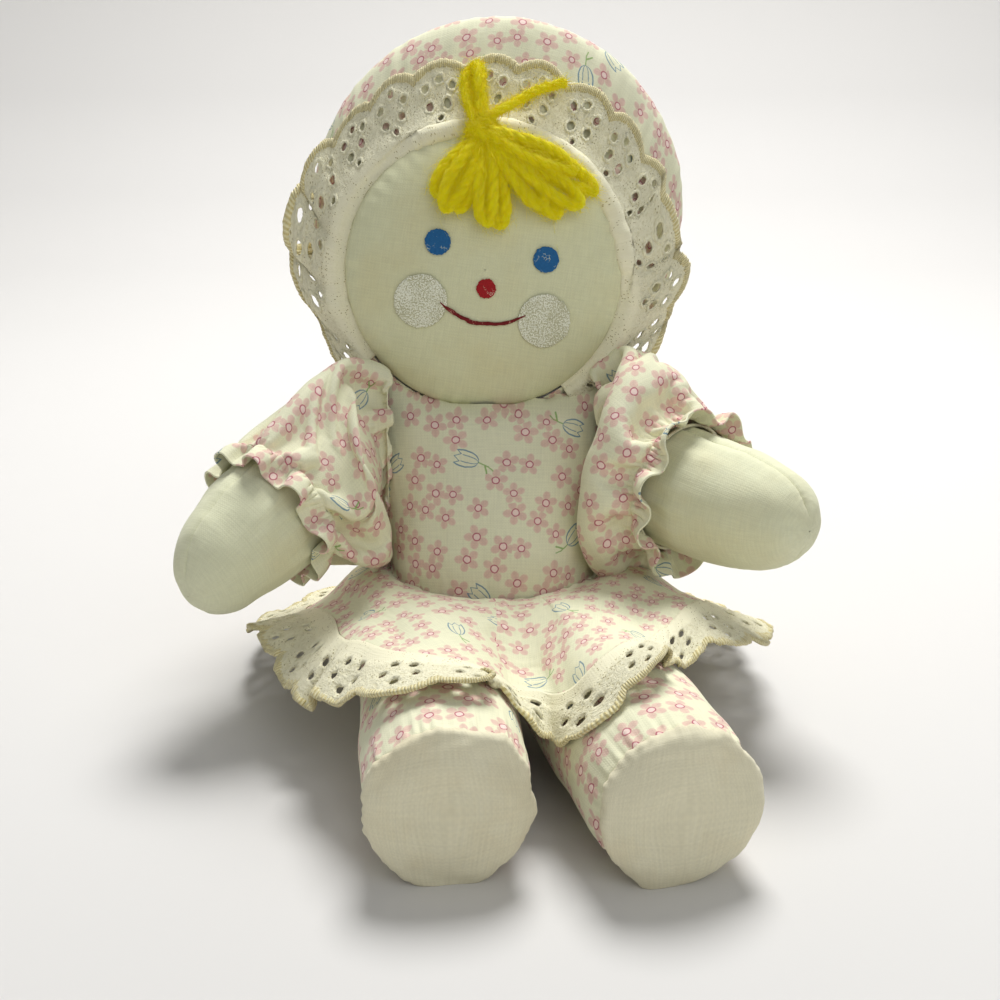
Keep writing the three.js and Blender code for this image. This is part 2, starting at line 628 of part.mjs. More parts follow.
// What the limbs, the lace and the sleeves keep clear of
const torsoRoom = bagSolid(torsoBag, TORSO_AROUND, torsoStations, -TURN_CLEARANCE);
const torsoAtRest = solidOf(bagSolid(torsoBag, TORSO_AROUND, torsoStations, -EASE));
const laceTrimmed = laceSheet.subtract(headAtRest).subtract(torsoAtRest);
addPiece(head, 'bonnet_lace', geometryOf(laceTrimmed, head.matrixWorld), LACE_COTTON);

// Limbs are cut back to what their neighbour leaves free as they turn.
function cutBack(geometry, group, room) {
  return geometryOf(solidOf(geometry, group.matrixWorld).subtract(room), group.matrixWorld);
}

// Arms, from shoulder to hand. The cuff is a share of the arm, the arch is how far its middle rises.
const ARM_ROOT = SHOULDER_HALF + ARM_ROOT_OUT;
const arms = {
  left: {
    sign: 1,
    from: vec(ARM_ROOT, SHOULDER_Y - 3, SHOULDER_Z - 4),
    to: vec(...HAND_LEFT),
    arch: -1.5,
    cuff: 0.36,
  },
  right: {
    sign: -1,
    from: vec(-ARM_ROOT, SHOULDER_Y, SHOULDER_Z + 1),
    to: vec(...HAND_RIGHT),
    arch: 3,
    cuff: 0.5,
  },
};
const armStations = [0, 0.08, 0.2, 0.36, 0.56, 0.76, 0.9, 0.975];
for (const [side, arm] of Object.entries(arms)) {
  const group = limbGroup(arm.from, arm.to);
  const length = arm.from.distanceTo(arm.to);
  arm.group = group;
  arm.bag = {
    length,
    ring(t) {
      const pinch = smooth(t, -0.5 * ARM_PINCH, ARM_PINCH);
      const tip = Math.sqrt(Math.max(0, 1 - t ** 7));
      const swell = 1 + ARM_SWELL * Math.sin(Math.PI * t);
      return {
        x: 0,
        y: arm.arch * Math.sin(Math.PI * t),
        wide: ARM_HALF_WIDE * swell * tip * mix(0.02, 1, (pinch - 0.16) / 0.84),
        high: ARM_HALF_HIGH * swell * tip * mix(0.62, 1, pinch),
      };
    },
    toPlace: (along, across, up) => vec(along, across, up),
  };
  const swing = [vec(0, 0, 1), -arm.sign * ARM_BACK, arm.sign * ARM_FORWARD];
  const room = roomOfTurn(torsoRoom, new THREE.Matrix4(), arm.from.toArray(), ...swing, 7);
  // Two muslin panels, seamed above and below. The arm's across axis points back on the left, forward on
  // the right.
  for (const [name, facing] of [['front', -arm.sign], ['back', arm.sign]]) {
    const start = facing > 0 ? -0.25 : 0.25;
    const panel = bagCover(arm.bag, 8, armStations, { arc: [start + SIDE_SEAM, start + 0.5 - SIDE_SEAM] });
    addPiece(group, `arm_panel_${name}_${side}`, cutBack(panel, group, room), MUSLIN);
  }
  const filling = bagSolid(arm.bag, 16, armStations, CLOTH + EASE);
  addPiece(group, `arm_filling_${side}`, cutBack(filling, group, room), FIBRE);
}

// Legs
const LEG_AROUND = 16;
const legMiddle = LEG_HALF_HIGH - LEG_FLAT;
const legs = {
  left: { from: vec(HIP_SIDE, -HIP_FRONT, legMiddle), to: vec(SOLE_LEFT_X, -SOLE_FRONT, legMiddle) },
  right: { from: vec(-HIP_SIDE, -HIP_FRONT, legMiddle), to: vec(SOLE_RIGHT_X, -SOLE_FRONT, legMiddle) },
};
for (const [side, leg] of Object.entries(legs)) {
  const group = limbGroup(leg.from, leg.to);
  const seam = leg.from.distanceTo(leg.to);
  const length = seam + SOLE_DOME;
  leg.group = group;
  leg.bag = {
    length,
    power: 0.95,
    ring(t) {
      const at = t * length;
      const pinch = smooth(t, -0.12, 0.34);
      const dome = at <= seam ? 1 : Math.sqrt(Math.max(0, 1 - ((at - seam) / SOLE_DOME) ** 2));
      const rounding = 1 - 0.045 * smooth(at, seam - 12, seam);
      return {
        x: 0,
        y: 0,
        wide: LEG_HALF_WIDE * dome * rounding * mix(0.72, 1, pinch),
        high: LEG_HALF_HIGH * dome * rounding * pinch,
      };
    },
    // The underside is flat where it rests on the ground.
    toPlace(along, across, up, inset) {
      return vec(along, across, Math.max(up, Math.max(inset, 0) - legMiddle));
    },
  };
  const at = (distance) => distance / length;
  const coverStations = [0, 0.08, 0.18, 0.34, 0.6, at(seam - 9), at(seam - 2), at(seam - SEAM / 2)];
  const soleStations = [at(seam + SEAM / 2), at(seam + 1.2), at(seam + 2.8)];
  const inside = [...coverStations.slice(0, -1), at(seam), ...soleStations.slice(1)];
  const fold = [vec(-1, 0, 0), 0, LEG_DOWN];
  const room = roomOfTurn(torsoRoom, new THREE.Matrix4(), leg.from.toArray(), ...fold, 9);
  const cover = bagCover(leg.bag, LEG_AROUND, coverStations, { finish: false });
  addPiece(group, `leg_cover_${side}`, cutBack(cover, group, room), PRINT_COTTON);
  const sole = bagCover(leg.bag, LEG_AROUND, soleStations, { start: false });
  addPiece(group, `leg_sole_${side}`, sole, SOLE_MUSLIN);
  const filling = bagSolid(leg.bag, LEG_AROUND, inside, CLOTH + EASE);
  addPiece(group, `leg_filling_${side}`, cutBack(filling, group, room), FIBRE);
}

// Sleeves: a puff from the armhole to the cuff, then a frill past the elastic
for (const [side, arm] of Object.entries(arms)) {
  const armAxis = arm.to.clone().sub(arm.from).normalize();
  const cuffMiddle = vec(arm.cuff * arm.bag.length, 0, arm.bag.ring(arm.cuff).y);
  cuffMiddle.applyMatrix4(arm.group.matrixWorld);
  const armhole = vec(arm.sign * (SHOULDER_HALF - 5), SHOULDER_Y + 2, SHOULDER_Z - 4);
  const path = new THREE.CatmullRomCurve3([
    armhole,
    vec(arm.sign * (SHOULDER_HALF + 3), SHOULDER_Y, SHOULDER_Z - 4),
    armhole.clone().lerp(cuffMiddle, 0.62),
    cuffMiddle,
    cuffMiddle.clone().addScaledVector(armAxis, CUFF_FRILL),
  ]);
  const frame = (share) => {
    const facing = vec(arm.sign, 0, 0).lerp(armAxis, smooth(share, 0, 0.7)).normalize();
    const across = vec(0, 0, 1).cross(facing).normalize();
    return { across, up: facing.clone().cross(across) };
  };
  // Tall and flat at the armhole, full in the middle, drawn in at the elastic
  const ringRow = (s, around, folds, depth) => {
    const middle = path.getPoint(s);
    const { across, up } = frame(s);
    const swelling = smooth(s, 0, 0.4);
    const drawn = smooth(s, 0.42, CUFF_AT);
    const high = mix(mix(ARMHOLE_HIGH, SLEEVE_HIGH, swelling), CUFF_RADIUS, drawn);
    const wide = mix(mix(ARMHOLE_WIDE, SLEEVE_WIDE, swelling), CUFF_RADIUS, drawn);
    return counted(around, (i) => {
      const turn = 2 * Math.PI * i / around;
      const fold = 1 + depth * Math.cos(folds * turn);
      return middle.clone()
        .addScaledVector(across, wide * fold * Math.cos(turn))
        .addScaledVector(up, high * fold * Math.sin(turn));
    });
  };
  const puff = [0, 0.15, 0.3, 0.45, 0.62, CUFF_AT - 0.01];
  const puffRows = puff.map((s) => ringRow(s, 24, 6, 0.05 * Math.sin(Math.PI * clamp(s / CUFF_AT, 0, 1))));
  const armRoom = solidOf(bagSolid(arm.bag, 16, armStations, -EASE), arm.group.matrixWorld);
  const puffSheet = solidOf(clothSolid(puffRows, true, CLOTH));
  const sleeve = puffSheet.subtract(torsoAtRest).subtract(headAtRest).subtract(laceRoom).subtract(armRoom);
  addPiece(doll, `sleeve_${side}`, geometryOf(sleeve), PRINT_COTTON);
  const frill = [CUFF_AT + 0.01, CUFF_AT + 0.09, 1];
  const frillRows = frill.map((s, j) => ringRow(s, 30, 10, FRILL_WAVE[j]).map((p) => {
    const out = p.clone().sub(path.getPoint(s)).normalize();
    return p.addScaledVector(out, FRILL_FLARE[j]);
  }));
  addPiece(doll, `cuff_frill_${side}`, clothSolid(frillRows, true, CLOTH), PRINT_COTTON);
  const ring = new THREE.TorusGeometry(ELASTIC_RING, ELASTIC_RADIUS, 5, 24);
  const { across, up } = frame(CUFF_AT);
  const facing = across.clone().cross(up);
  const turned = new THREE.Matrix4().makeBasis(across, up, facing).setPosition(path.getPoint(CUFF_AT + 0.02));
  ring.deleteAttribute('uv');
  ring.deleteAttribute('normal');
  addPiece(doll, `cuff_elastic_${side}`, mergeVertices(ring.applyMatrix4(turned)), ELASTIC_CREAM, 0.8);
}

// Skirt. Stations run round from the front, towards the doll's left: seam of the lace, then hem.
const skirtLine = [
  { lace: [2, -83, 34], hem: [3, -97, 36] },
  { lace: [11, -80, 31], hem: [11, -88, 22] },
  { lace: [23, -88, 41], hem: [26, -104, 40] },
  { lace: [43, -60, 38], hem: [44, -76, 34] },
  { lace: [56, -31, 34], hem: [72, -45, 28] },
  { lace: [60, 2, 18], hem: [77, -2, 14] },
  { lace: [48, 36, 6], hem: [62, 44, 3] },
  { lace: [20, 56, 3], hem: [24, 71, 1.5] },
  { lace: [-18, 56, 3], hem: [-22, 71, 1.5] },
  { lace: [-47, 36, 6], hem: [-60, 44, 3] },
  { lace: [-56, 4, 16], hem: [-72, 0, 12] },
  { lace: [-45, -28, 28], hem: [-64, -36, 24] },
  { lace: [-37, -58, 34], hem: [-48, -66, 20] },
  { lace: [-17, -82, 41], hem: [-19, -101, 40] },
];
const laceCurve = new THREE.CatmullRomCurve3(skirtLine.map((s) => vec(...s.lace)), true);
const hemCurve = new THREE.CatmullRomCurve3(skirtLine.map((s) => vec(...s.hem)), true);
const WAIST_GAP = EASE + CLOTH;
function waistPoint(share) {
  return bagPoint(torsoBag, 2 * Math.PI * (share - 0.25), 1 - WAIST_HEIGHT / TORSO_HEIGHT, -WAIST_GAP);
}
// How high the legs stand at a place, or zero beside them
function legTop(x, y) {
  let top = 0;
  for (const leg of Object.values(legs)) {
    const local = leg.group.worldToLocal(vec(x, y, legMiddle));
    const t = clamp(local.x / leg.bag.length, 0, 1);
    const ring = leg.bag.ring(t);
    const off = Math.abs(local.y) / (ring.wide + LEG_HOVER);
    if (off < 1 && local.x > 0) top = Math.max(top, legMiddle + ring.high * Math.sqrt(1 - off ** 2));
  }
  return top;
}
function draped(point) {
  point.z = Math.max(point.z, legTop(point.x, point.y) + LEG_HOVER + CLOTH / 2, SKIRT_HOVER + CLOTH / 2);
  return point;
}
const skirtShares = counted(42, (i) => i / 42);
const skirtRows = [0, 0.25, 0.5, 0.75, 1].map((across) => skirtShares.map((share) => {
  const point = waistPoint(share).lerp(laceCurve.getPoint(share), across * (1 - LACE_SEAM));
  point.z += SKIRT_PUFF * Math.sin(Math.PI * across) * Math.exp(-across);
  return across === 0 ? point : draped(point);
}));
addPiece(doll, 'skirt', clothSolid(skirtRows, true, CLOTH), PRINT_COTTON);
const hemLength = hemCurve.getLength();
const hemScallops = Math.round(hemLength / SKIRT_LACE_SCALLOP);
const hemShares = counted(hemScallops * 4, (i) => i / (hemScallops * 4));
const hemRows = [0, 1].map((across) => hemShares.map((share) => {
  const seam = waistPoint(share).lerp(laceCurve.getPoint(share), 1 + LACE_SEAM);
  const scallop = Math.abs(Math.sin(Math.PI * hemScallops * share));
  const reach = 1 - (SCALLOP_DEPTH / SKIRT_LACE_WIDTH) * (1 - scallop);
  return draped(seam.lerp(hemCurve.getPoint(share), across * reach));
}));
addPiece(doll, 'skirt_lace', clothSolid(hemRows, true, CLOTH), LACE_COTTON);

export default doll;
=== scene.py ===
# A small cloth baby doll that rattles. It sits with its legs forward, in a bonnet and a lace-hemmed dress.
import math
import bpy
import numpy as np
from mathutils import Matrix, Vector
from mathutils.geometry import delaunay_2d_cdt


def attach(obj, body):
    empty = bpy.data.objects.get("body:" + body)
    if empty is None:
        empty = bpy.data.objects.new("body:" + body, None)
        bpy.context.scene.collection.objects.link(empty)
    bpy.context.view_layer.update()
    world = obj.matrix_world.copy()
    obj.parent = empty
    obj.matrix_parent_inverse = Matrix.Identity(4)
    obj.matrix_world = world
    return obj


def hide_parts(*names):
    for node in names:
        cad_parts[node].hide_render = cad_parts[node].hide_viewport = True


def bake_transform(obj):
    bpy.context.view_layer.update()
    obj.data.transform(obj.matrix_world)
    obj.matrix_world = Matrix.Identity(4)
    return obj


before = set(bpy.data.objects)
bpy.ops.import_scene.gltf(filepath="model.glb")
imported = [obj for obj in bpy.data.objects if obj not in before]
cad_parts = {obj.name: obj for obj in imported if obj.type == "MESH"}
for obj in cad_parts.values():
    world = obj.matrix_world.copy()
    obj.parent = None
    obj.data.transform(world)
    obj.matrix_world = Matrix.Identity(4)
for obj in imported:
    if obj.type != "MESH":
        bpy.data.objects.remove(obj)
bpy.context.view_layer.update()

scene = bpy.context.scene
MM = 0.001
FULL_TURN = 2 * math.pi

# The photograph's view, from a little above the doll's head and straight in front of it. The doll sits on a
# plain pale floor that turns up into a backdrop.
CAMERA_PLACE = (0.0015, -0.405, 0.189)
LOOK_DOWN = math.radians(18.7)
camera = bpy.data.objects.new("camera", bpy.data.cameras.new("camera"))
camera.data.lens = 53.1
camera.data.sensor_width = 36.0
camera.data.clip_start = 0.01
camera.location = CAMERA_PLACE
camera.rotation_euler = (math.pi / 2 - LOOK_DOWN, 0, 0)
scene.collection.objects.link(camera)
scene.camera = camera
scene.view_settings.view_transform = "Standard"


def linear(code):
    """An sRGB hex colour as linear RGBA."""
    parts = [int(code[i:i + 2], 16) / 255 for i in (1, 3, 5)]
    return (*[c / 12.92 if c <= 0.04045 else ((c + 0.055) / 1.055) ** 2.4 for c in parts], 1.0)


def add(tree, kind, links=None, **settings):
    """Adds a node with its settings, and sets or links its inputs. A hex code stands for its colour."""
    node = tree.nodes.new("ShaderNode" + kind)
    for name, value in settings.items():
        setattr(node, name, value)
    for name, value in (links or {}).items():
        if isinstance(value, bpy.types.NodeSocket):
            tree.links.new(value, node.inputs[name])
        else:
            node.inputs[name].default_value = linear(value) if isinstance(value, str) else value
    return node


def number(tree, operation, *inputs, **settings):
    """One step of arithmetic on numbers."""
    return add(tree, "Math", dict(enumerate(inputs)), operation=operation, **settings).outputs[0]


def vector(tree, operation, *inputs):
    """One step of arithmetic on vectors."""
    made = add(tree, "VectorMath", dict(enumerate(inputs)), operation=operation)
    return made.outputs["Value" if operation in ("LENGTH", "DOT_PRODUCT") else 0]


def noise(tree, place, scale, detail=2.0, output="Fac", **more):
    return add(tree, "TexNoise", {"Vector": place, "Scale": scale, "Detail": detail, **more}).outputs[output]


def ranged(tree, value, low, high, to_low=0.0, to_high=1.0, kind="LINEAR"):
    """Carries a value from one range to another."""
    ends = {"From Min": low, "From Max": high, "To Min": to_low, "To Max": to_high}
    return add(tree, "MapRange", {"Value": value, **ends}, interpolation_type=kind).outputs[0]


def tint(tree, share, below, above, mode="MIX"):
    """Mixes one colour into another."""
    return add(tree, "Mix", {0: share, 6: below, 7: above}, data_type="RGBA", blend_type=mode).outputs[2]


def new_material(name):
    material = bpy.data.materials.new(name)
    material.use_nodes = True
    material.node_tree.nodes.clear()
    return material, material.node_tree


def finish_material(tree, color, roughness, bump=None, **more):
    """Gives a material its surface. A bump is a height in 0 to 1, its real distance and a strength."""
    inputs = {name.replace("_", " "): value for name, value in more.items()}
    shader = add(tree, "BsdfPrincipled", {"Base Color": color, "Roughness": roughness, **inputs})
    if bump:
        height, distance, strength = bump
        raised = add(tree, "Bump", {"Height": height, "Distance": distance, "Strength": strength})
        tree.links.new(raised.outputs["Normal"], shader.inputs["Normal"])
    add(tree, "OutputMaterial", {"Surface": shader.outputs[0]})


floor_paint, tree = new_material("pale matt floor paint")
finish_material(tree, "#d9d7d4", 0.9)
profile = [(-1.6, 0.0), (0.5, 0.0), (0.62, 0.012), (0.72, 0.05), (0.79, 0.12), (0.82, 0.22), (0.83, 1.6)]
corners = [(side * 1.8, y, z) for y, z in profile for side in (-1, 1)]
sweep = bpy.data.meshes.new("backdrop")
sweep.from_pydata(corners, [], [(2 * i, 2 * i + 1, 2 * i + 3, 2 * i + 2) for i in range(len(profile) - 1)])
for polygon in sweep.polygons:
    polygon.use_smooth = True
sweep.materials.append(floor_paint)
backdrop = bpy.data.objects.new("backdrop", sweep)
scene.collection.objects.link(backdrop)


def soft_light(name, place, aim, size, power, color):
    lamp = bpy.data.lights.new(name, "AREA")
    lamp.shape = "DISK"
    lamp.size = size
    lamp.energy = power
    lamp.color = linear(color)[:3]
    holder = bpy.data.objects.new(name, lamp)
    holder.location = place
    holder.rotation_euler = (Vector(aim) - Vector(place)).to_track_quat("-Z", "Y").to_euler()
    scene.collection.objects.link(holder)


soft_light("window", (0.1, 0.44, 1.0), (0, 0, 0.08), 0.5, 13.0, "#ffffff")
soft_light("room", (0.4, -0.9, 0.8), (0, 0, 0.08), 0.9, 2.7, "#f8fbff")
world = bpy.data.worlds.new("room light")
scene.world = world
world.use_nodes = True
world.node_tree.nodes["Background"].inputs["Color"].default_value = linear("#f4f5f5")
world.node_tree.nodes["Background"].inputs["Strength"].default_value = 0.32

# Face: a round panel of cream cotton muslin, domed by the stuffing. It is sewn all round into the bonnet,
# and the seam draws it into short puckers.
FACE_RADIUS, FACE_DOME = 40.0, 12.5
FACE_SEWN = 39.85
BONNET_RADIUS, RING_BACK, RING_RISE, HEAD_DEPTH = 54.5, 17.0, 18.7, 58.0
SWELL = RING_BACK / math.sqrt(1 - (FACE_RADIUS / BONNET_RADIUS) ** 2)
head_place = np.array([-3.0, 16.0, 116.0])
roll, tilt = math.radians(9.3), math.radians(-10)
head_turn = np.array((Matrix.Rotation(roll, 3, "Y") @ Matrix.Rotation(tilt, 3, "X")))


def from_head(points):
    return np.asarray(points) @ head_turn.T + head_place


def to_head(points):
    return (np.asarray(points) - head_place) @ head_turn


def smooth(value, low, high):
    share = np.clip((np.asarray(value, float) - low) / (high - low), 0, 1)
    return share * share * (3 - 2 * share)


def mix(a, b, share):
    return a + (b - a) * share


def waves(x, y, size, seed, octaves=3):
    """A smooth random field from -1 to 1 over a plane, with swells of about that size."""
    draw = np.random.default_rng(seed)
    total = np.zeros(np.broadcast(x, y).shape)
    for octave in range(octaves):
        for _ in range(7):
            turn, phase = draw.uniform(0, FULL_TURN, 2)
            pitch = FULL_TURN / size * 2 ** octave * draw.uniform(0.7, 1.3)
            total += np.sin(pitch * (x * math.cos(turn) + y * math.sin(turn)) + phase) / 2 ** octave
    return total / 6.5


def ripples(turn, count, seed, spread=0.3):
    """Uneven folds round a ring, from -1 to 1, about that many of them."""
    draw = np.random.default_rng(seed)
    total = np.zeros(np.shape(turn))
    for _ in range(9):
        number_round = max(1, round(count * draw.uniform(1 - spread, 1 + spread)))
        total += np.sin(number_round * turn + draw.uniform(0, FULL_TURN))
    return total / 4.2


def walk(line):
    """How far along a line each of its points is."""
    return np.concatenate([[0], np.cumsum(np.linalg.norm(np.diff(line, axis=0), axis=1))])


def disk(radius, turn):
    """Flat places at a radius and a turn."""
    return np.stack([radius * np.cos(turn), radius * np.sin(turn)], -1)


def normals_of(grid):
    """Normals of a grid of points, rows by columns, pointing along rows x columns."""
    down = np.gradient(grid, axis=0)
    across = np.gradient(grid, axis=1)
    if np.allclose(grid[:, 0], grid[:, -1]):
        across[:, 0] = across[:, -1] = (grid[:, 1] - grid[:, -2]) / 2
    normal = np.cross(across, down)
    return normal / np.maximum(np.linalg.norm(normal, axis=2, keepdims=True), 1e-9)


def same_way(normal, wanted):
    """Whether a grid's normals point with the wanted directions, on the whole."""
    return np.sum(normal * wanted) > 0


def outwards(grid, centre):
    """The grid's normals, turned away from a line of centres."""
    normal = normals_of(grid)
    return normal if same_way(normal, grid - centre) else -normal


def facing(grid, wanted):
    """The order of a grid's rows, or else of its columns, in which its faces point the wanted way."""
    return slice(None) if same_way(normals_of(grid), wanted) else slice(None, None, -1)


def make_mesh(name, points, faces, flat, *materials):
    """An object from points in millimetres, with each face's corners laid flat for the weave and the print. A
    quad whose last two corners are one becomes a triangle."""
    mesh = bpy.data.meshes.new(name)
    mesh.from_pydata((points * MM).tolist(), [], [f[:3] if f[-1] == f[-2] else f for f in faces.tolist()])
    corners = np.ones(faces.shape, bool)
    corners[:, -1] = faces[:, -1] != faces[:, -2]
    mesh.uv_layers.new(name="flat").data.foreach_set("uv", (flat[corners] * MM).ravel())
    mesh.polygons.foreach_set("use_smooth", [True] * len(mesh.polygons))
    for material in materials:
        mesh.materials.append(material)
    mesh.update()
    piece = bpy.data.objects.new(name, mesh)
    scene.collection.objects.link(piece)
    return piece


def joined(parts):
    """Several sets of points, faces and flat places as one."""
    points, faces, flats = zip(*parts)
    first = np.cumsum([0] + [len(part) for part in points])
    faces = np.concatenate([part + count for part, count in zip(faces, first)])
    return np.concatenate(points), faces, np.concatenate(flats)


def grid_faces(rows, columns, closed=False, ring=False):
    """Quads of a grid, as vertex numbers and as grid corners. The last column of a closed grid is its first
    one again, and so is the last row of a ring."""
    j, i = np.meshgrid(np.arange(rows - 1), np.arange(columns - 1), indexing="ij")

    def quads(width, depth):
        down, right = (j + 1) % depth, (i + 1) % width
        loop = [j * width + i, down * width + i, down * width + right, j * width + right]
        return np.stack(loop, -1).reshape(-1, 4)

    return quads(columns - closed, rows - ring), quads(columns, rows)


def make_sheet(name, grid, flat, material, closed=False, thick=0.0):
    """Cloth over a grid of points. A thick sheet gets a wrong side and turned edges."""
    faces, corners = grid_faces(*grid.shape[:2], closed)
    kept = grid[:, :-1] if closed else grid
    piece = make_mesh(name, kept.reshape(-1, 3), faces, flat.reshape(-1, 2)[corners], material)
    if thick:
        change(piece, "SOLIDIFY", thickness=thick * MM, offset=-1)
    return piece


def change(piece, kind, **settings):
    """Applies a modifier to a piece's mesh."""
    modifier = piece.modifiers.new("change", kind)
    for name, value in settings.items():
        setattr(modifier, name, value)
    bpy.context.view_layer.update()
    held = piece.evaluated_get(bpy.context.evaluated_depsgraph_get())
    mesh = bpy.data.meshes.new_from_object(held)
    piece.modifiers.clear()
    old = piece.data
    piece.data = mesh
    bpy.data.meshes.remove(old)


def weave(tree, thread=0.42):
    """Plain weave on the flat cloth: the flat place, the height of its uneven threads and its slubs. It is
    drawn a little coarser than the real one, whose threads of 0.3 mm would not show."""
    flat = add(tree, "UVMap", uv_map="flat").outputs[0]
    shift = vector(tree, "MULTIPLY", noise(tree, flat, 260.0, output="Color"), (0.0004,) * 3)
    parts = add(tree, "SeparateXYZ", {0: vector(tree, "ADD", flat, shift)}).outputs
    pitch = 1 / (thread * MM)
    over_under = [number(tree, "SINE", number(tree, "MULTIPLY", parts[axis], math.pi * pitch)) for axis in "XY"]
    crossed = number(tree, "MULTIPLY", *over_under)
    threads = [noise(tree, vector(tree, "MULTIPLY", flat, stretch), 1.0, 1.0)
               for stretch in ((pitch, 170.0, 1.0), (170.0, pitch, 1.0))]
    height = number(tree, "MULTIPLY_ADD", crossed, 0.14, number(tree, "ADD", *threads))
    slub = noise(tree, vector(tree, "MULTIPLY", flat, (3000.0, 190.0, 1.0)), 1.0, 3.0)
    return flat, height, slub


def muslin(name, color, shade, stain, stain_share=0.5):
    """Unbleached cotton muslin, plain woven, washed and handled: matt, with slubs and faint yellow stains, and
    painted shade between its threads and painted light on their tops.
    """
    material, tree = new_material(name)
    _, height, slub = weave(tree)
    place = add(tree, "TexCoord").outputs["Object"]
    cloud = ranged(tree, noise(tree, place, 38.0, 4.0, Roughness=0.6), 0.46, 0.78)
    stained = tint(tree, number(tree, "MULTIPLY", cloud, stain_share), tint(tree, slub, shade, color), stain)
    # Painted shade and light of the weave: the colour is multiplied down between the threads and up on their
    # tops, after the weave's height.
    cloth = tint(tree, 1.0, stained, ranged(tree, height, 0.6, 1.4, 0.93, 1.04), "MULTIPLY")
    wrinkled = number(tree, "MULTIPLY_ADD", noise(tree, place, 210.0, 3.0), 2.2, height)
    finish_material(tree, cloth, 0.88, (wrinkled, 0.00009, 0.7), Sheen_Weight=0.15, Specular_IOR_Level=0.25)
    return material


face_muslin = muslin("unbleached cotton muslin", "#e4e4c0", "#dadab0", "#d6cb98")


def face_point(x, z, lift=0.0):
    """A point of the face's dome, lifted off it."""
    x, z = np.broadcast_arrays(np.asarray(x, float), np.asarray(z, float))
    depth = np.sqrt(np.maximum(0.02, 1 - (x * x + z * z) / FACE_RADIUS ** 2))
    normal = np.stack([x / FACE_RADIUS ** 2, -depth / FACE_DOME, z / FACE_RADIUS ** 2], -1)
    normal /= np.linalg.norm(normal, axis=-1, keepdims=True)
    return np.stack([x, -FACE_DOME * depth, z], -1) + normal * np.asarray(lift)[..., None]


turn, reach = np.meshgrid(np.linspace(0, FULL_TURN, 289), np.linspace(0.0, 1.0, 72) ** 0.72)
reach[0] = 0.004
flat = disk(FACE_SEWN * reach, turn)
at_rim = smooth(FACE_SEWN * reach, 29, 39.6)
pucker = 0.34 * at_rim ** 2 * ripples(turn, 46, 3) + 0.35 * at_rim * waves(flat[..., 0], flat[..., 1], 19, 5)
swell = 0.35 * waves(flat[..., 0], flat[..., 1], 46, 8, 2) * (1 - at_rim)
tucked = smooth(reach, 0.972, 1.0)
relief = (pucker + swell) * (1 - 0.6 * tucked) - 0.35 * tucked
dome = -FACE_DOME * np.sqrt(np.maximum(0, 1 - reach ** 2)) - relief
grid = np.stack([flat[..., 0], dome, flat[..., 1]], -1)
face = make_sheet("face", from_head(grid)[::-1], flat[::-1], face_muslin, closed=True)
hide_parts("face_panel")
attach(face, "head")

# Face prints: eyes, nose and cheeks are dots of a thick rubbery ink that stands a little off the cloth and
# has cracked with age. The cheeks are a white one that has worn to speckles. The smile is a thin line.
FACE_SHIFT = 1.1
EYE = (15.2, 5.5, 3.6)
NOSE = (0.0, -5.0, 2.7)
CHEEK = (17.5, -11.3, 7.4)
MOUTH_HALF, MOUTH_DROP, MOUTH_SAG = 12.1, 10.7, 4.1
INK_HEIGHT, OFF_CLOTH = 0.22, 0.38


def cracked_ink(name, color, dark, bare, crack_size, crack_width):
    """Raised ink on cloth, cracked along the threads, so that bare cotton shows in hair lines."""
    material, tree = new_material(name)
    flat, height, _ = weave(tree, 0.5)
    place = vector(tree, "MULTIPLY", flat, (1 / crack_size / MM,) * 3)
    bent = vector(tree, "MULTIPLY_ADD", noise(tree, flat, 900.0, 3.0, "Color"), (0.9,) * 3, place)
    cells = add(tree, "TexVoronoi", {"Vector": bent, "Scale": 1.0}, feature="DISTANCE_TO_EDGE",
                voronoi_dimensions="2D")
    opened = ranged(tree, noise(tree, flat, 420.0), 0.54, 0.74, 0.0, crack_width)
    crack = number(tree, "LESS_THAN", cells.outputs["Distance"], opened)
    grain = noise(tree, flat, 1700.0)
    relief = number(tree, "MULTIPLY_ADD", grain, 0.7, height)
    tone = tint(tree, crack, tint(tree, grain, dark, color), bare)
    finish_material(tree, tone, 0.62, (relief, 0.00012, 0.8), Specular_IOR_Level=0.3)
    return material


def speckled_ink(name, color, gap, size):
    """White ink that sat on the tops of the threads: what is left of it is grains with cloth between."""
    material, tree = new_material(name)
    flat = add(tree, "UVMap", uv_map="flat").outputs[0]
    grains = noise(tree, flat, 1 / size / MM, Roughness=0.65)
    level = ranged(tree, noise(tree, flat, 120.0), 0.3, 0.7, 0.40, 0.52)
    left = ranged(tree, grains, level, number(tree, "ADD", level, 0.07))
    finish_material(tree, tint(tree, left, gap, color), 0.85, (grains, 0.00025, 0.7), Specular_IOR_Level=0.2)
    return material


blue_ink = cracked_ink("blue rubber ink", "#1f6ba6", "#155487", "#b9c4b8", 0.9, 0.15)
red_ink = cracked_ink("red rubber ink", "#b3131b", "#8f0a12", "#e2b9a4", 0.7, 0.16)
mouth_ink = cracked_ink("dark red rubber ink", "#8a1016", "#5a080c", "#c98f7c", 0.8, 0.2)
white_ink = speckled_ink("worn white rubber ink", "#f4f5e2", "#bfbd9a", 0.42)


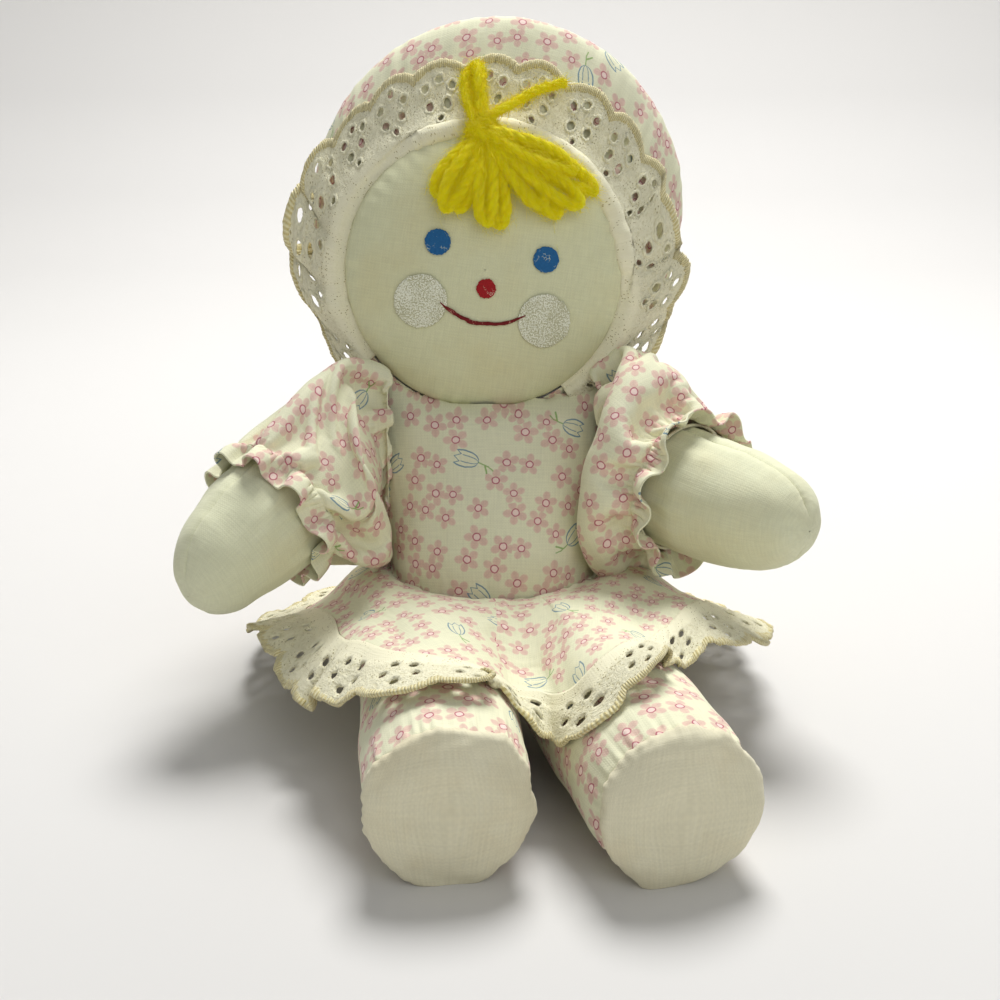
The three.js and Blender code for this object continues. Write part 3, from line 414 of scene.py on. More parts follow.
def ink_dot(name, place, size, material, ragged, seed):
    """A dot of ink that follows the face, with an uneven edge."""
    turn, share = np.meshgrid(np.linspace(0, FULL_TURN, 97), [0.01, 0.3, 0.6, 0.85, 0.95, 0.99, 1.0, 1.0])
    edge = size * (1 + ragged * ripples(turn, 17, seed, 0.7) + 0.5 * ragged * ripples(turn, 5, seed + 1, 0.5))
    flat = disk(share * edge, turn) + [FACE_SHIFT + place[0], place[1]]
    lift = np.array([1.0, 1.0, 1.0, 1.0, 0.96, 0.8, 0.4, -0.6])[:, None] * INK_HEIGHT + OFF_CLOTH
    grid = from_head(face_point(flat[..., 0], flat[..., 1], lift))
    piece = make_sheet(name, grid[::-1], flat[::-1], material, closed=True)
    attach(piece, "head")
    return piece


for side, sign in (("left", 1), ("right", -1)):
    eye = ink_dot(f"eye_{side}", (sign * EYE[0], EYE[1]), EYE[2], blue_ink, 0.035, 11 + sign)
    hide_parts(f"eye_print_{side}")
    cheek = ink_dot(f"cheek_{side}", (sign * CHEEK[0], CHEEK[1]), CHEEK[2], white_ink, 0.02, 21 + sign)
    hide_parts(f"cheek_print_{side}")
nose = ink_dot("nose", NOSE[:2], NOSE[2], red_ink, 0.06, 31)
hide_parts("nose_print")

share, across = np.meshgrid(np.linspace(-1, 1, 161), np.linspace(-1, 1, 7))
line_x = FACE_SHIFT + share * MOUTH_HALF
line_z = -MOUTH_DROP - MOUTH_SAG * (1 - share ** 2) + 0.25 * waves(line_x, 0 * line_x, 7, 41)
half_line = 0.58 * (1 + 0.3 * waves(line_x, 0 * line_x, 3, 42)) * np.sqrt(np.clip(1 - share ** 6, 0.02, 1))
flat = np.stack([line_x, line_z + across * half_line], -1)
lift = OFF_CLOTH + 0.1 + 0.3 * np.sqrt(np.clip(1 - across ** 2, 0, 1)) - 0.12 * (np.abs(across) > 0.99)
smile = make_sheet("smile", from_head(face_point(flat[..., 0], flat[..., 1], lift)), flat, mouth_ink)
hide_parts("mouth_print")
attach(smile, "head")

# Bonnet: cotton lawn with a small all-over print, a band round the head and a round panel at the back. The
# band is gathered into the face seam and into the back panel's seam, and stuffed firm.
PRINT_CELL = 7.7
TULIP_CELL, TULIP_SCALE = 33.0, 1.22
BACK_SEAM = 44.0


def printed_cotton(name, seed):
    """Cotton lawn, roller printed in three thin colours on cream: pink flowers with a crimson ring, and a few
    tulips in blue line on green stalks. The pink is thin, so that the weave shows through it."""
    material, tree = new_material(name)
    flat, height, slub = weave(tree)

    def value(operation, *inputs):
        return number(tree, operation, *inputs)

    def difference(a, b):
        return value("SUBTRACT", a, b)

    def size_of(a):
        return value("ABSOLUTE", a)

    def turned(place, angle):
        return add(tree, "VectorRotate", {"Vector": place, "Angle": angle}, rotation_type="Z_AXIS").outputs[0]

    def split(place):
        return add(tree, "SeparateXYZ", {0: place}).outputs

    def inside(distance, edge, blur):
        return ranged(tree, distance, edge - blur, edge + blur, 1.0, 0.0, "SMOOTHSTEP")

    def dots(place, randomness):
        return add(tree, "TexVoronoi", {"Vector": place, "Scale": 1.0, "Randomness": randomness},
                   voronoi_dimensions="2D").outputs

    def spots(cell, randomness, scale):
        """Scattered centres, a random colour at each, and the place round it in mm, turned at random."""
        scaled = vector(tree, "MULTIPLY", start, (1 / cell / MM, 1 / cell / MM, 0))
        found = dots(scaled, randomness)
        offset = vector(tree, "SUBTRACT", scaled, found["Position"])
        chance = split(found["Color"])
        around = vector(tree, "MULTIPLY", offset, (cell / scale, cell / scale, 0))
        return found["Position"], chance, turned(around, value("MULTIPLY", chance["X"], 6.283))

    jog = vector(tree, "MULTIPLY_ADD", noise(tree, flat, 700.0, output="Color"), (0.00035, 0.00035, 0), flat)
    start = vector(tree, "ADD", turned(jog, 0.47 + seed), (seed * 0.0371, seed * 0.0213, 0))

    # A flower: five petals round a pale heart. It is left out where a tulip stands.
    centres, chance, local = spots(PRINT_CELL, 0.56, 1.0)
    reach = value("DIVIDE", vector(tree, "LENGTH", local), value("MULTIPLY_ADD", chance["Y"], 0.18, 0.87))
    fold = value("WRAP", value("ARCTAN2", split(local)["Y"], split(local)["X"]), math.pi / 5, -math.pi / 5)
    beside = value("MULTIPLY", reach, value("SINE", fold))
    ahead = value("MULTIPLY", difference(value("MULTIPLY", reach, value("COSINE", fold)), 2.15), 0.82)
    off = value("SQRT", value("ADD", value("MULTIPLY", ahead, ahead), value("MULTIPLY", beside, beside)))
    nearest = dots(vector(tree, "MULTIPLY", centres, (PRINT_CELL / TULIP_CELL,) * 3), 0.8)["Distance"]
    free = value("GREATER_THAN", nearest, 6.0 / TULIP_CELL)
    streak = inside(size_of(beside), 0.34, 0.3)
    petal = value("MULTIPLY", inside(off, 1.12, 0.24), free)
    ring = value("MULTIPLY", inside(size_of(difference(reach, 1.02)), 0.17, 0.1), free)
    heart = value("MULTIPLY", inside(reach, 0.96, 0.08), free)

    # A tulip: the outline of a cup with three tips, two ribs, and a stalk with a leaf and a foot.
    _, _, bloom = spots(TULIP_CELL, 0.8, TULIP_SCALE)
    x, y = size_of(split(bloom)["X"]), split(bloom)["Y"]
    slope = value("DIVIDE", difference(y, 0.3), 3.3)
    bulge = value("MAXIMUM", difference(1.0, value("MULTIPLY", slope, slope)), 0.0)
    half = value("MULTIPLY", value("SQRT", bulge), 1.95)
    tips = value("MULTIPLY_ADD", value("PINGPONG", value("ADD", x, 0.9), 0.9), 1.5, 1.3)
    cup = value("MAXIMUM", difference(x, half), difference(y, tips))
    rib = inside(size_of(difference(x, value("MULTIPLY", half, 0.42))), 0.1, 0.08)
    rib = value("MULTIPLY", rib, value("MULTIPLY", inside(cup, -0.1, 0.05), inside(y, 0.9, 0.2)))
    line = value("MAXIMUM", inside(size_of(cup), 0.17, 0.09), rib)
    blue = value("MULTIPLY", line, inside(size_of(y), 3.05, 0.1))
    green = 0.0
    for begin, end, width in (((0, -3.0), (0.3, -5.4), 0.14), ((0.3, -4.6), (1.9, -5.5), 0.2),
                              ((0.3, -5.4), (0.9, -6.6), 0.13)):
        way = (end[0] - begin[0], end[1] - begin[1], 0)
        offset = vector(tree, "SUBTRACT", bloom, (*begin, 0))
        share = number(tree, "DIVIDE", vector(tree, "DOT_PRODUCT", offset, way), way[0] ** 2 + way[1] ** 2,
                       use_clamp=True)
        foot = add(tree, "VectorMath", {0: way, "Scale": share}, operation="SCALE").outputs[0]
        stroke = inside(vector(tree, "LENGTH", vector(tree, "SUBTRACT", offset, foot)), width, 0.1)
        green = value("MAXIMUM", green, stroke)

    place = add(tree, "TexCoord").outputs["Object"]
    ground = tint(tree, noise(tree, place, 45.0, 3.0), "#ecebce", "#e4e3c2")
    pink = tint(tree, chance["Z"], "#e0b1aa", "#d9a5a2")
    cloth = tint(tree, value("MULTIPLY", slub, 0.35), ground, "#dedcba")
    pink = tint(tree, value("MULTIPLY", streak, 0.4), pink, "#cf9393")
    for shape, ink, cover in ((petal, pink, 0.62), (heart, "#f0d6cd", 0.95), (ring, "#b34a66", 0.85),
                              (green, "#86ad5a", 0.85), (blue, "#56849f", 0.85)):
        cloth = tint(tree, value("MULTIPLY", shape, cover), cloth, ink)
    # Painted shade and light of the weave: the colour is multiplied down between the threads and up on their
    # tops, after the weave's height.
    cloth = tint(tree, 1.0, cloth, ranged(tree, height, 0.6, 1.4, 0.95, 1.07), "MULTIPLY")
    wrinkled = value("MULTIPLY_ADD", noise(tree, place, 160.0, 3.0), 2.4, height)
    finish_material(tree, cloth, 0.86, (wrinkled, 0.00009, 0.7), Sheen_Weight=0.12, Specular_IOR_Level=0.25)
    return material


bonnet_print = printed_cotton("printed cotton lawn of the bonnet", 3)


def head_ring(y):
    """Radius and middle of the head's round sections, at a depth behind the face seam."""
    y = np.asarray(y, float)
    front = FACE_RADIUS * np.sqrt(np.clip(1 - (y / FACE_DOME) ** 2, 0, 1))
    half = np.where(y < RING_BACK, SWELL, HEAD_DEPTH - RING_BACK)
    back = BONNET_RADIUS * np.sqrt(np.clip(1 - ((y - RING_BACK) / half) ** 2, 0, 1))
    rise = RING_RISE * smooth(y, 0, RING_BACK)
    sunk = mix(1.0, 0.6, smooth(y, RING_BACK, HEAD_DEPTH))
    return np.where(y <= 0, front, back), 0.1 * rise, rise * sunk


def head_surface(turn, y):
    radius, x, z = head_ring(y)
    return np.stack([x + radius * np.cos(turn), y + 0 * turn, z + radius * np.sin(turn)], -1)


def bonnet_panel(name, depths, turns, gather, lie):
    """A panel of the bonnet as a sheet, with its gathers and soft dents."""
    turn, y = np.meshgrid(np.linspace(0, FULL_TURN, turns), depths)
    grid = head_surface(turn, y)
    flat = lie(turn, y, np.stack([walk(line) for line in grid.swapaxes(0, 1)], 1))
    dents = 0.5 * waves(turn * BONNET_RADIUS, y * 1.2, 34, 51) * smooth(y, 0, 12)
    grid = grid + normals_of(grid) * (gather(turn, y) + dents)[..., None]
    piece = make_sheet(name, from_head(grid), flat, bonnet_print, closed=True)
    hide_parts("bonnet_crown")
    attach(piece, "head")


def band_gather(turn, y):
    front = np.exp(-y / 7.5) * (0.75 * ripples(turn, 62, 61) + 0.5 * ripples(turn, 26, 62))
    back = np.exp(-(BACK_SEAM - y) / 5.0) * (0.6 * ripples(turn, 44, 63) + 0.3 * ripples(turn, 18, 64))
    sewn = 0.5 * smooth(-y, -1.0, 0) + 0.8 * smooth(y, BACK_SEAM - 1.2, BACK_SEAM)
    return front * smooth(y, 0, 1.2) + back * smooth(BACK_SEAM - y, 0, 1.0) - sewn


def back_gather(turn, y):
    past = y - BACK_SEAM
    return 0.5 * smooth(past, 0, 2) * np.exp(-past / 3) * ripples(turn, 40, 65) - 0.8 * np.exp(-past / 0.6)


band_depths = [0.0, 0.15, 0.4, 0.8, *np.linspace(1.3, BACK_SEAM - 1.2, 70), BACK_SEAM - 0.6, BACK_SEAM]
back_depths = [BACK_SEAM, BACK_SEAM + 0.4, *np.linspace(BACK_SEAM + 1, HEAD_DEPTH - 0.02, 34),
               HEAD_DEPTH - 1e-5]
bonnet_panel("bonnet_band", band_depths, 421, band_gather,
             lambda turn, y, walked: np.stack([turn * BONNET_RADIUS * 0.97, walked], -1))
bonnet_panel("bonnet_back", back_depths, 241, back_gather, lambda turn, y, walked: disk(head_ring(y)[0], turn))

# Bonnet lace: a strip of eyelet embroidery on cotton lawn. Its scallops have cut eyelets bound in thick ragged
# satin stitch and an edge bound in buttonhole stitch. The plain edge is gathered into the face seam and rolls
# over it, and the strip lies back over the bonnet, bunched at one side.
LACE_WIDTH, LACE_SWEEP, LACE_SCALLOP, LACE_COUNT = 23.0, 274.0, 16.5, 16
SCALLOP_DEPTH = 3.0
LACE_CLOTH, STITCH, CORD_STEPS = 0.34, 0.6, 66
EYELETS = ((0.0, 4.7, 1.15), (-4.4, 6.9, 1.25), (4.4, 6.9, 1.2), (-3.0, 11.5, 1.4), (3.1, 11.5, 1.4),
           (0.1, 15.4, 1.1))


def embroidered_lawn(name, color, shade, wrong_side):
    """Cotton lawn of the lace: closely woven, with needle holes, puckered and knotted where it is worked, and
    painted shade in the hollows between the knots.
    """
    material, tree = new_material(name)
    flat, height, slub = weave(tree, 0.45)
    stitches = add(tree, "TexVoronoi", {"Vector": flat, "Scale": 1 / (1.15 * MM), "Randomness": 0.9},
                   voronoi_dimensions="2D")
    size = ranged(tree, noise(tree, flat, 260.0, 1.0), 0.44, 0.62, 0.0, 0.17)
    needle = number(tree, "LESS_THAN", stitches.outputs["Distance"], size)
    knots = noise(tree, flat, 1050.0, 3.0, Roughness=0.7, Distortion=0.8)
    across = add(tree, "SeparateXYZ", {0: flat}).outputs["Y"]
    worked = ranged(tree, across, 0.004, 0.0065, kind="SMOOTHSTEP")
    # Painted shade: in the worked part the colour is darkened towards #d8d0a6 where the knots' relief is low,
    # in the hollows between them.
    deep = number(tree, "MULTIPLY", ranged(tree, knots, 0.5, 0.36, 0.0, 0.6), worked)
    cloth = tint(tree, deep, tint(tree, slub, shade, color), "#d8d0a6")
    cloth = tint(tree, needle, cloth, "#b5aa7e")
    cloth = tint(tree, add(tree, "NewGeometry").outputs["Backfacing"], cloth, wrong_side)
    raised = number(tree, "MULTIPLY_ADD", worked, 6.5, 0.4)
    relief = number(tree, "MULTIPLY_ADD", knots, raised, height)
    finish_material(tree, cloth, 0.85, (relief, 0.00022, 0.6), Sheen_Weight=0.15, Specular_IOR_Level=0.25)
    return material


def embroidery_thread(name, color, shade, ribbed=0.0):
    """Soft mercerised cotton thread, laid close: a little brighter than the lawn, ribbed by its strands, with
    painted shade in the grooves between its stitches and strands.
    """
    material, tree = new_material(name)
    flat = add(tree, "UVMap", uv_map="flat").outputs[0]
    along = add(tree, "SeparateXYZ", {0: flat}).outputs["X"]
    stitch = number(tree, "SINE", number(tree, "MULTIPLY", along, FULL_TURN / (STITCH * MM)))
    strands = noise(tree, flat, 2600.0, 3.0, Roughness=0.7)
    rib = number(tree, "MULTIPLY_ADD", stitch, 0.5 * ribbed, strands, use_clamp=True)
    relief = number(tree, "ADD", rib, noise(tree, flat, 900.0))
    # Painted shade: the colour falls to the shade tone where the stitch ribs and strands are low, in the
    # grooves between them.
    finish_material(tree, tint(tree, rib, shade, color), 0.72, (relief, 0.00035, 0.9), Sheen_Weight=0.3,
                    Specular_IOR_Level=0.3)
    return material


lace_lawn = embroidered_lawn("eyelet cotton lawn", "#f8f4d8", "#ece6c4", "#e0dab8")
lace_thread = embroidery_thread("cotton embroidery thread", "#faf7dc", "#e3dcb4")
edge_thread = embroidery_thread("cotton buttonhole thread", "#fbf3c6", "#d6c584", 0.8)


def lay(sheet, flat, lift=0.0):
    """Puts places of flat cloth, in millimetres along and across it, on the sheet that it was laid as."""
    rows, columns = sheet["grid"].shape[:2]
    i = np.clip(flat[..., 0] / sheet["length"], 0, 1) * (columns - 1)
    j = np.clip(flat[..., 1] / sheet["width"], 0, 1) * (rows - 1)
    i0, j0 = np.minimum(i.astype(int), columns - 2), np.minimum(j.astype(int), rows - 2)
    fi, fj = (i - i0)[..., None], (j - j0)[..., None]

    def between(field):
        upper, lower = (mix(field[j, i0], field[j, i0 + 1], fi) for j in (j0, j0 + 1))
        return mix(upper, lower, fj)

    return between(sheet["grid"]) + between(sheet["normal"]) * np.asarray(lift, float)[..., None]


def scallop_edge(u, scallop, width):
    return width - SCALLOP_DEPTH * (1 - np.abs(np.sin(math.pi * u / scallop)) ** 0.75)


def cut_eyelet(draw, middle, size):
    """The ragged oval of one cut hole, as steps from its middle."""
    middle = np.array([middle[0] + draw.normal(0, 0.22), middle[1] + draw.normal(0, 0.22)])
    wide, high = np.array([draw.uniform(0.86, 1.05), draw.uniform(0.9, 1.15)]) * size * 1.02
    lean = draw.uniform(0, math.pi)
    turn = np.linspace(0, FULL_TURN, 23)[:-1]
    out = 1 + 0.04 * ripples(turn, 3, int(draw.integers(1e6)), 0.6)
    ring = np.stack([wide * np.cos(turn), high * np.sin(turn)], 1) * out[:, None]
    spin = np.array([[math.cos(lean), math.sin(lean)], [-math.sin(lean), math.cos(lean)]])
    return middle, ring @ spin, max(wide, high), int(draw.integers(1e6))


def lace_tile(scallop, width, holes):
    """Triangles of the flat cloth of one scallop, without its eyelets."""
    border = [(x, 0) for x in np.linspace(0, scallop, 14)]
    side = np.linspace(0, scallop_edge(0, scallop, width), 19)[1:]
    border += [(scallop, v) for v in side]
    border += [(x, scallop_edge(x, scallop, width)) for x in np.linspace(0, scallop, 23)[::-1][1:]]
    border += [(0, v) for v in side[::-1][1:]]
    coords, edges = [], []
    for loop in (border, *(middle + ring for middle, ring, _, _ in holes)):
        edges += [(len(coords) + i, len(coords) + (i + 1) % len(loop)) for i in range(len(loop))]
        coords += [Vector(place) for place in loop]
    for x in np.arange(0.9, scallop - 0.5, 1.05):
        for y in np.arange(0.9, width, 1.05):
            clear = y < scallop_edge(x, scallop, width) - 0.5
            if clear and all(math.hypot(x - m[0], y - m[1]) > reach + 0.45 for m, _, reach, _ in holes):
                coords.append(Vector((x, y)))
    cut = delaunay_2d_cdt(coords, edges, [], 0, 1e-5)
    at = np.array([tuple(place) for place in cut[0]])
    triangles = np.array([face for face in cut[2] if len(face) == 3])
    middles = at[triangles].mean(axis=1)
    keep = middles[:, 1] < scallop_edge(middles[:, 0], scallop, width) - 1e-3
    for middle, ring, _, _ in holes:
        offset = middles - middle
        bearing = np.arctan2(ring[:, 1], ring[:, 0])
        order = np.argsort(bearing)
        limit = np.interp(np.arctan2(offset[:, 1], offset[:, 0]), bearing[order],
                          np.linalg.norm(ring, axis=1)[order], period=FULL_TURN)
        keep &= np.linalg.norm(offset, axis=1) > limit * 0.97
    return at, triangles[keep]


def eyelet_lace(name, sheet, scallops, scallop, width, eyelets, seed):
    """The strip with its cut eyelets, its bound rims and its corded edge, laid on a sheet, as two pieces."""
    draw = np.random.default_rng(seed)
    tiles, rims = [], []
    for tile in range(scallops):
        holes = [cut_eyelet(draw, (scallop / 2 + du, width - dv), size) for du, dv, size in eyelets]
        at, faces = lace_tile(scallop, width, holes)
        at[:, 0] += tile * scallop
        tiles.append((at, faces, at))
        rims += [(middle + [tile * scallop, 0], ring, key) for middle, ring, _, key in holes]
    flat, faces, _ = joined(tiles)
    cloth = make_mesh(name, lay(sheet, flat), faces, flat[faces], lace_lawn)
    change(cloth, "WELD", merge_threshold=0.02 * MM)
    change(cloth, "SOLIDIFY", thickness=LACE_CLOTH * MM, offset=-1)

    # Satin-stitched rims, ragged where the threads have frayed
    parts = []
    tube = np.linspace(0, FULL_TURN, 9)[:-1]
    for middle, ring, key in rims:
        turn = np.linspace(0, FULL_TURN, len(ring) + 1)[:-1]
        fat = 0.5 * (1 + 0.2 * ripples(turn, 6, key, 0.6) + 0.22 * (-1) ** np.arange(len(ring)))[:, None]
        away = ring / np.linalg.norm(ring, axis=1, keepdims=True)
        flat = middle + ring[:, None] + away[:, None] * (fat * (np.cos(tube) + 0.7))[..., None]
        frayed = draw.normal(0, 0.09, (*flat.shape[:2], 3))
        points = lay(sheet, flat, fat * np.sin(tube) * 0.7 - 0.05) + frayed
        faces, _ = grid_faces(len(ring) + 1, 9, True, ring=True)
        parts.append((points.reshape(-1, 3), faces, flat.reshape(-1, 2)))

    # The corded edge, with a ridge for each buttonhole stitch
    steps = scallops * CORD_STEPS
    along = np.linspace(0, scallops * scallop, steps + 1)
    edge = np.stack([along, scallop_edge(along, scallop, width)], 1)
    ahead = np.gradient(edge, axis=0)
    out = np.stack([-ahead[:, 1], ahead[:, 0]], 1) / np.linalg.norm(ahead, axis=1, keepdims=True)
    steep = out[:, 1] < 0.35
    out[steep] = out[steep] * 0.5 + np.array([0, 0.5])
    ridge = 1 + 0.07 * np.cos(np.arange(steps + 1) * FULL_TURN / 3) + 0.11 * draw.normal(0, 1, steps + 1)
    flat = edge[:, None] + out[:, None] * ((np.cos(tube) - 0.35) * 1.2 * ridge[:, None])[..., None]
    points = lay(sheet, flat, np.sin(tube) * 0.6 * ridge[:, None] - 0.1)
    cord = grid_faces(steps + 1, 9, True)[0][:, [0, 3, 2, 1]]
    parts.append((points.reshape(-1, 3), cord, flat.reshape(-1, 2)))
    points, faces, flat = joined(parts)
    thread = make_mesh(name + "_embroidery", points, faces, flat[faces], lace_thread, edge_thread)
    of_cord = np.arange(len(faces)) >= len(faces) - len(cord)
    thread.data.polygons.foreach_set("material_index", of_cord.astype(int))
    return cloth, thread


def bonnet_lie(turn, distance):
    """Points of the bonnet's surface at distances behind the face seam, one column for each turn."""
    depth = np.linspace(-8, 36, 110)
    placed = np.empty((*distance.shape, 3))
    for i in range(distance.shape[1]):
        walked = walk(head_surface(turn[:, i].mean(), depth))
        walked -= np.interp(0, depth, walked)
        placed[:, i] = head_surface(turn[:, i], np.interp(distance[:, i], walked, depth))
    return placed


def pleats(middle, half, count):
    """Overlapping folds at an angle of the face: their shift along the seam, and how high they stand."""
    near = np.clip((degrees - middle) / half, -1, 1)
    fade = (1 - near ** 2) ** 2
    return fade * np.sin(near * count * math.pi), fade * (0.5 + 0.5 * np.cos(near * count * math.pi))


laid_length, laid_width = LACE_COUNT * LACE_SCALLOP, LACE_WIDTH + 1.5
share, across = np.meshgrid(np.linspace(0, 1, 561), np.linspace(0, 1, 34))
side = np.abs(share - 0.5) * 2
degrees = 90 + LACE_SWEEP * (0.5 - share)
along_lace, across_lace = share * laid_length, across * laid_width
bunch_shift, bunch_high = pleats(187, 34, 3.5)
fold_shift, fold_high = pleats(17, 15, 1.0)
turned_shift, turned_high = pleats(-30, 12, 1.0)
turn = np.radians(degrees + across ** 0.7 * (4.7 * bunch_shift + 6.5 * fold_shift + 5.0 * turned_shift))
narrowed = mix(1, 0.45, smooth(side, 0.78, 1)) * (1 - 0.17 * bunch_high * across - 0.1 * fold_high)
distance = across * laid_width * narrowed
over = 0.8 + 4.3 * smooth(degrees, -4, 20) * (1 - smooth(degrees, 112, 158))
over += 0.45 * waves(along_lace, across * 0, 13, 75) + 0.12 * ripples(np.radians(degrees), 90, 76)
lie = bonnet_lie(turn, distance - 0.4 - over * (1 - 0.75 * across))
out = outwards(lie, np.array([0, 20, 12]))
roll = (1.7 + 0.5 * waves(along_lace, across * 0, 22, 77)) * np.exp(-((distance - 4.0) / 3.6) ** 2)
ruffle = (0.5 + 0.5 * np.cos(math.pi * LACE_COUNT * share + 0.6 + 1.2 * np.sin(9 * share))) * 1.8 * across
crumple = 0.45 * waves(along_lace, across_lace, 9, 71) * smooth(across, 0.02, 0.4)
flare = 4.2 * smooth(side, 0.45, 0.75) * across ** 2
lift = -0.9 + 2.1 * smooth(distance, -0.6, 2.6) + roll + ruffle + crumple + flare
lift += across * (4.2 * bunch_high + 2.8 * fold_high + 2.6 * turned_high)
lift += 1.1 * bunch_high * waves(along_lace, across_lace, 6, 73) * smooth(across, 0.05, 0.4)
grid = from_head(lie + out * np.maximum(lift, -0.9)[..., None])
sheet = {"grid": grid, "normal": outwards(grid, head_place), "length": laid_length, "width": laid_width}
lace, lace_rims = eyelet_lace("bonnet_lace_strip", sheet, LACE_COUNT, LACE_SCALLOP, LACE_WIDTH, EYELETS, 5)
for piece in (lace, lace_rims):
    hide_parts("bonnet_lace")
    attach(piece, "head")


# Forelock: a hank of bright yellow acrylic knitting yarn, looped, tied with one more length of the same yarn
# and sewn to the top of the face. The yarn is three soft plies, and its loops have gone a little fluffy.
YARN_RADIUS, YARN_STEP = 1.8, 0.42
PLY_PITCH = 10.5
KNOT = np.array([-6.0, 34.6])
LACE_STANDS = 3.9


def curve(points, count, closed=False):
    """A smooth line through points, at even steps of its own parameter."""
    points = np.asarray(points, float)
    total = len(points)
    placed = []
    for share in np.linspace(0, 1, count):
        at = share * (total if closed else total - 1)
        i = min(int(at), total - 1 if closed else total - 2)
        part = at - i
        if closed:
            p = [points[(i + k) % total] for k in (-1, 0, 1, 2)]
        else:
            p = [points[i - 1] if i else 2 * points[0] - points[1], points[i], points[i + 1],
                 points[i + 2] if i + 2 < total else 2 * points[-1] - points[-2]]
        d = [max(np.linalg.norm(p[k + 1] - p[k]) ** 0.5, 1e-2) for k in range(3)]
        t1 = ((p[1] - p[0]) / d[0] - (p[2] - p[0]) / (d[0] + d[1]) + (p[2] - p[1]) / d[1]) * d[1]
        t2 = ((p[2] - p[1]) / d[1] - (p[3] - p[1]) / (d[1] + d[2]) + (p[3] - p[2]) / d[2]) * d[1]
        c2, c3 = 3 * (p[2] - p[1]) - 2 * t1 - t2, 2 * (p[1] - p[2]) + t1 + t2
        placed.append(p[1] + t1 * part + c2 * part ** 2 + c3 * part ** 3)
    return np.array(placed)


def along_line(line, at, wanted):
    """The values of a line whose points have known places, at other places."""
    return np.stack([np.interp(wanted, at, line[:, k]) for k in range(line.shape[1])], -1)


def even_steps(line, step):
    """The same line with its points a fixed step apart."""
    walked = walk(line)
    return along_line(line, walked, np.linspace(0, walked[-1], max(4, int(walked[-1] / step) + 1)))


def frames_along(line):
    """A direction and two across it at each point, without a twist."""
    ahead = np.gradient(line, axis=0)
    ahead /= np.linalg.norm(ahead, axis=1, keepdims=True)
    side = np.cross(ahead[0], [0.3, 0.1, 1.0])
    sides = []
    for direction in ahead:
        side = side - direction * (side @ direction)
        side = side / np.linalg.norm(side)
        sides.append(side)
    sides = np.array(sides)
    return ahead, sides, np.cross(ahead, sides)


def tube_mesh(line, radius, sides):
    """Points and quads of a tube with closed ends, and its flat cloth places."""
    _, across, up = frames_along(line)
    turn = np.linspace(0, FULL_TURN, sides + 1)[:-1]
    radius = np.broadcast_to(radius, len(line)).copy()
    radius[[0, -1]] *= 0.25
    ring = across[:, None] * np.cos(turn)[None, :, None] + up[:, None] * np.sin(turn)[None, :, None]
    points = (line[:, None] + ring * radius[:, None, None]).reshape(-1, 3)
    flat = np.stack(np.broadcast_arrays(walk(line)[:, None], turn * radius.mean()), -1)
    return points, grid_faces(len(line), sides + 1, True)[0], flat.reshape(-1, 2)


def yarn_strands(line, radius, seed, plies=3, fuzz=70.0):
    """The plies of a length of yarn, and the stray fibres that stand off it, that many for a millimetre."""
    draw = np.random.default_rng(seed)
    line = even_steps(line, YARN_STEP)
    ahead, side, up = frames_along(line)
    at = np.arange(len(line)) * YARN_STEP
    soft = 1 + 0.1 * waves(at, 0 * at, 9, seed)
    parts = []
    for k in range(plies):
        turn = FULL_TURN * (at / PLY_PITCH + k / plies) + 0.5 * waves(at, 0 * at, 13, seed + 1)
        off = side * np.cos(turn)[:, None] + up * np.sin(turn)[:, None]
        ply = line + off * (0.37 * radius * soft)[:, None]
        thick = 0.62 * radius * soft * (1 + 0.13 * waves(at, 0 * at, 3.1, seed + 2 + k))
        parts.append(tube_mesh(ply, thick, 9))
    count = int(len(line) * YARN_STEP * fuzz)
    root = draw.integers(1, len(line) - 1, count)
    turn = draw.uniform(0, FULL_TURN, count)
    out = side[root] * np.cos(turn)[:, None] + up[root] * np.sin(turn)[:, None]
    lean = ahead[root] * draw.normal(0, 0.8, count)[:, None]
    reach = draw.gamma(2.0, 0.5, count)[:, None]
    start = line[root] + out * radius * 0.85
    middle = start + (out * 0.6 + lean * 0.6) * reach
    tip = middle + (out * 0.25 + lean + draw.normal(0, 0.35, (count, 3))) * reach * 0.8
    wide = np.cross(out, ahead[root]) * 0.06
    hair = np.stack([start - wide, start + wide, middle + wide, middle - wide, tip], 1).reshape(-1, 3)
    first = np.arange(count)[:, None] * 5
    quads = np.concatenate([first + [[0, 1, 2, 3]], first + [[3, 2, 4, 4]]])
    parts.append((hair, quads, np.stack([hair[:, 0], hair[:, 2]], 1)))
    return parts


def yarn_piece(name, node, strands):
    points, faces, flat = joined(strands)
    piece = make_mesh(name, from_head(points), faces, flat[faces], yellow_yarn)
    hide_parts(node)
    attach(piece, "head")


def acrylic_yarn(name, color, shade):
    """Spun acrylic, dyed right through: soft and faintly glossy. It is given a faint painted glow, an emission
    in its own colour, and painted shade between its fibres.
    """
    material, tree = new_material(name)
    flat = add(tree, "UVMap", uv_map="flat").outputs[0]
    fibres = noise(tree, vector(tree, "MULTIPLY", flat, (700.0, 4200.0, 1.0)), 1.0, 3.0, Roughness=0.65)
    # Painted shade: the colour falls to the darker shade tone where the fibres' relief is low. Painted glow: a
    # weak emission in the yarn's own colour brightens it as if it were lit more, though it is no lamp.
    finish_material(tree, tint(tree, fibres, shade, color), 0.68, (fibres, 0.0007, 1.0), Sheen_Weight=0.15,
                    Sheen_Roughness=0.4, Specular_IOR_Level=0.25, Subsurface_Weight=0.9,
                    Subsurface_Radius=(0.003, 0.0026, 0.0004), Emission_Color=color, Emission_Strength=0.06)
    return material


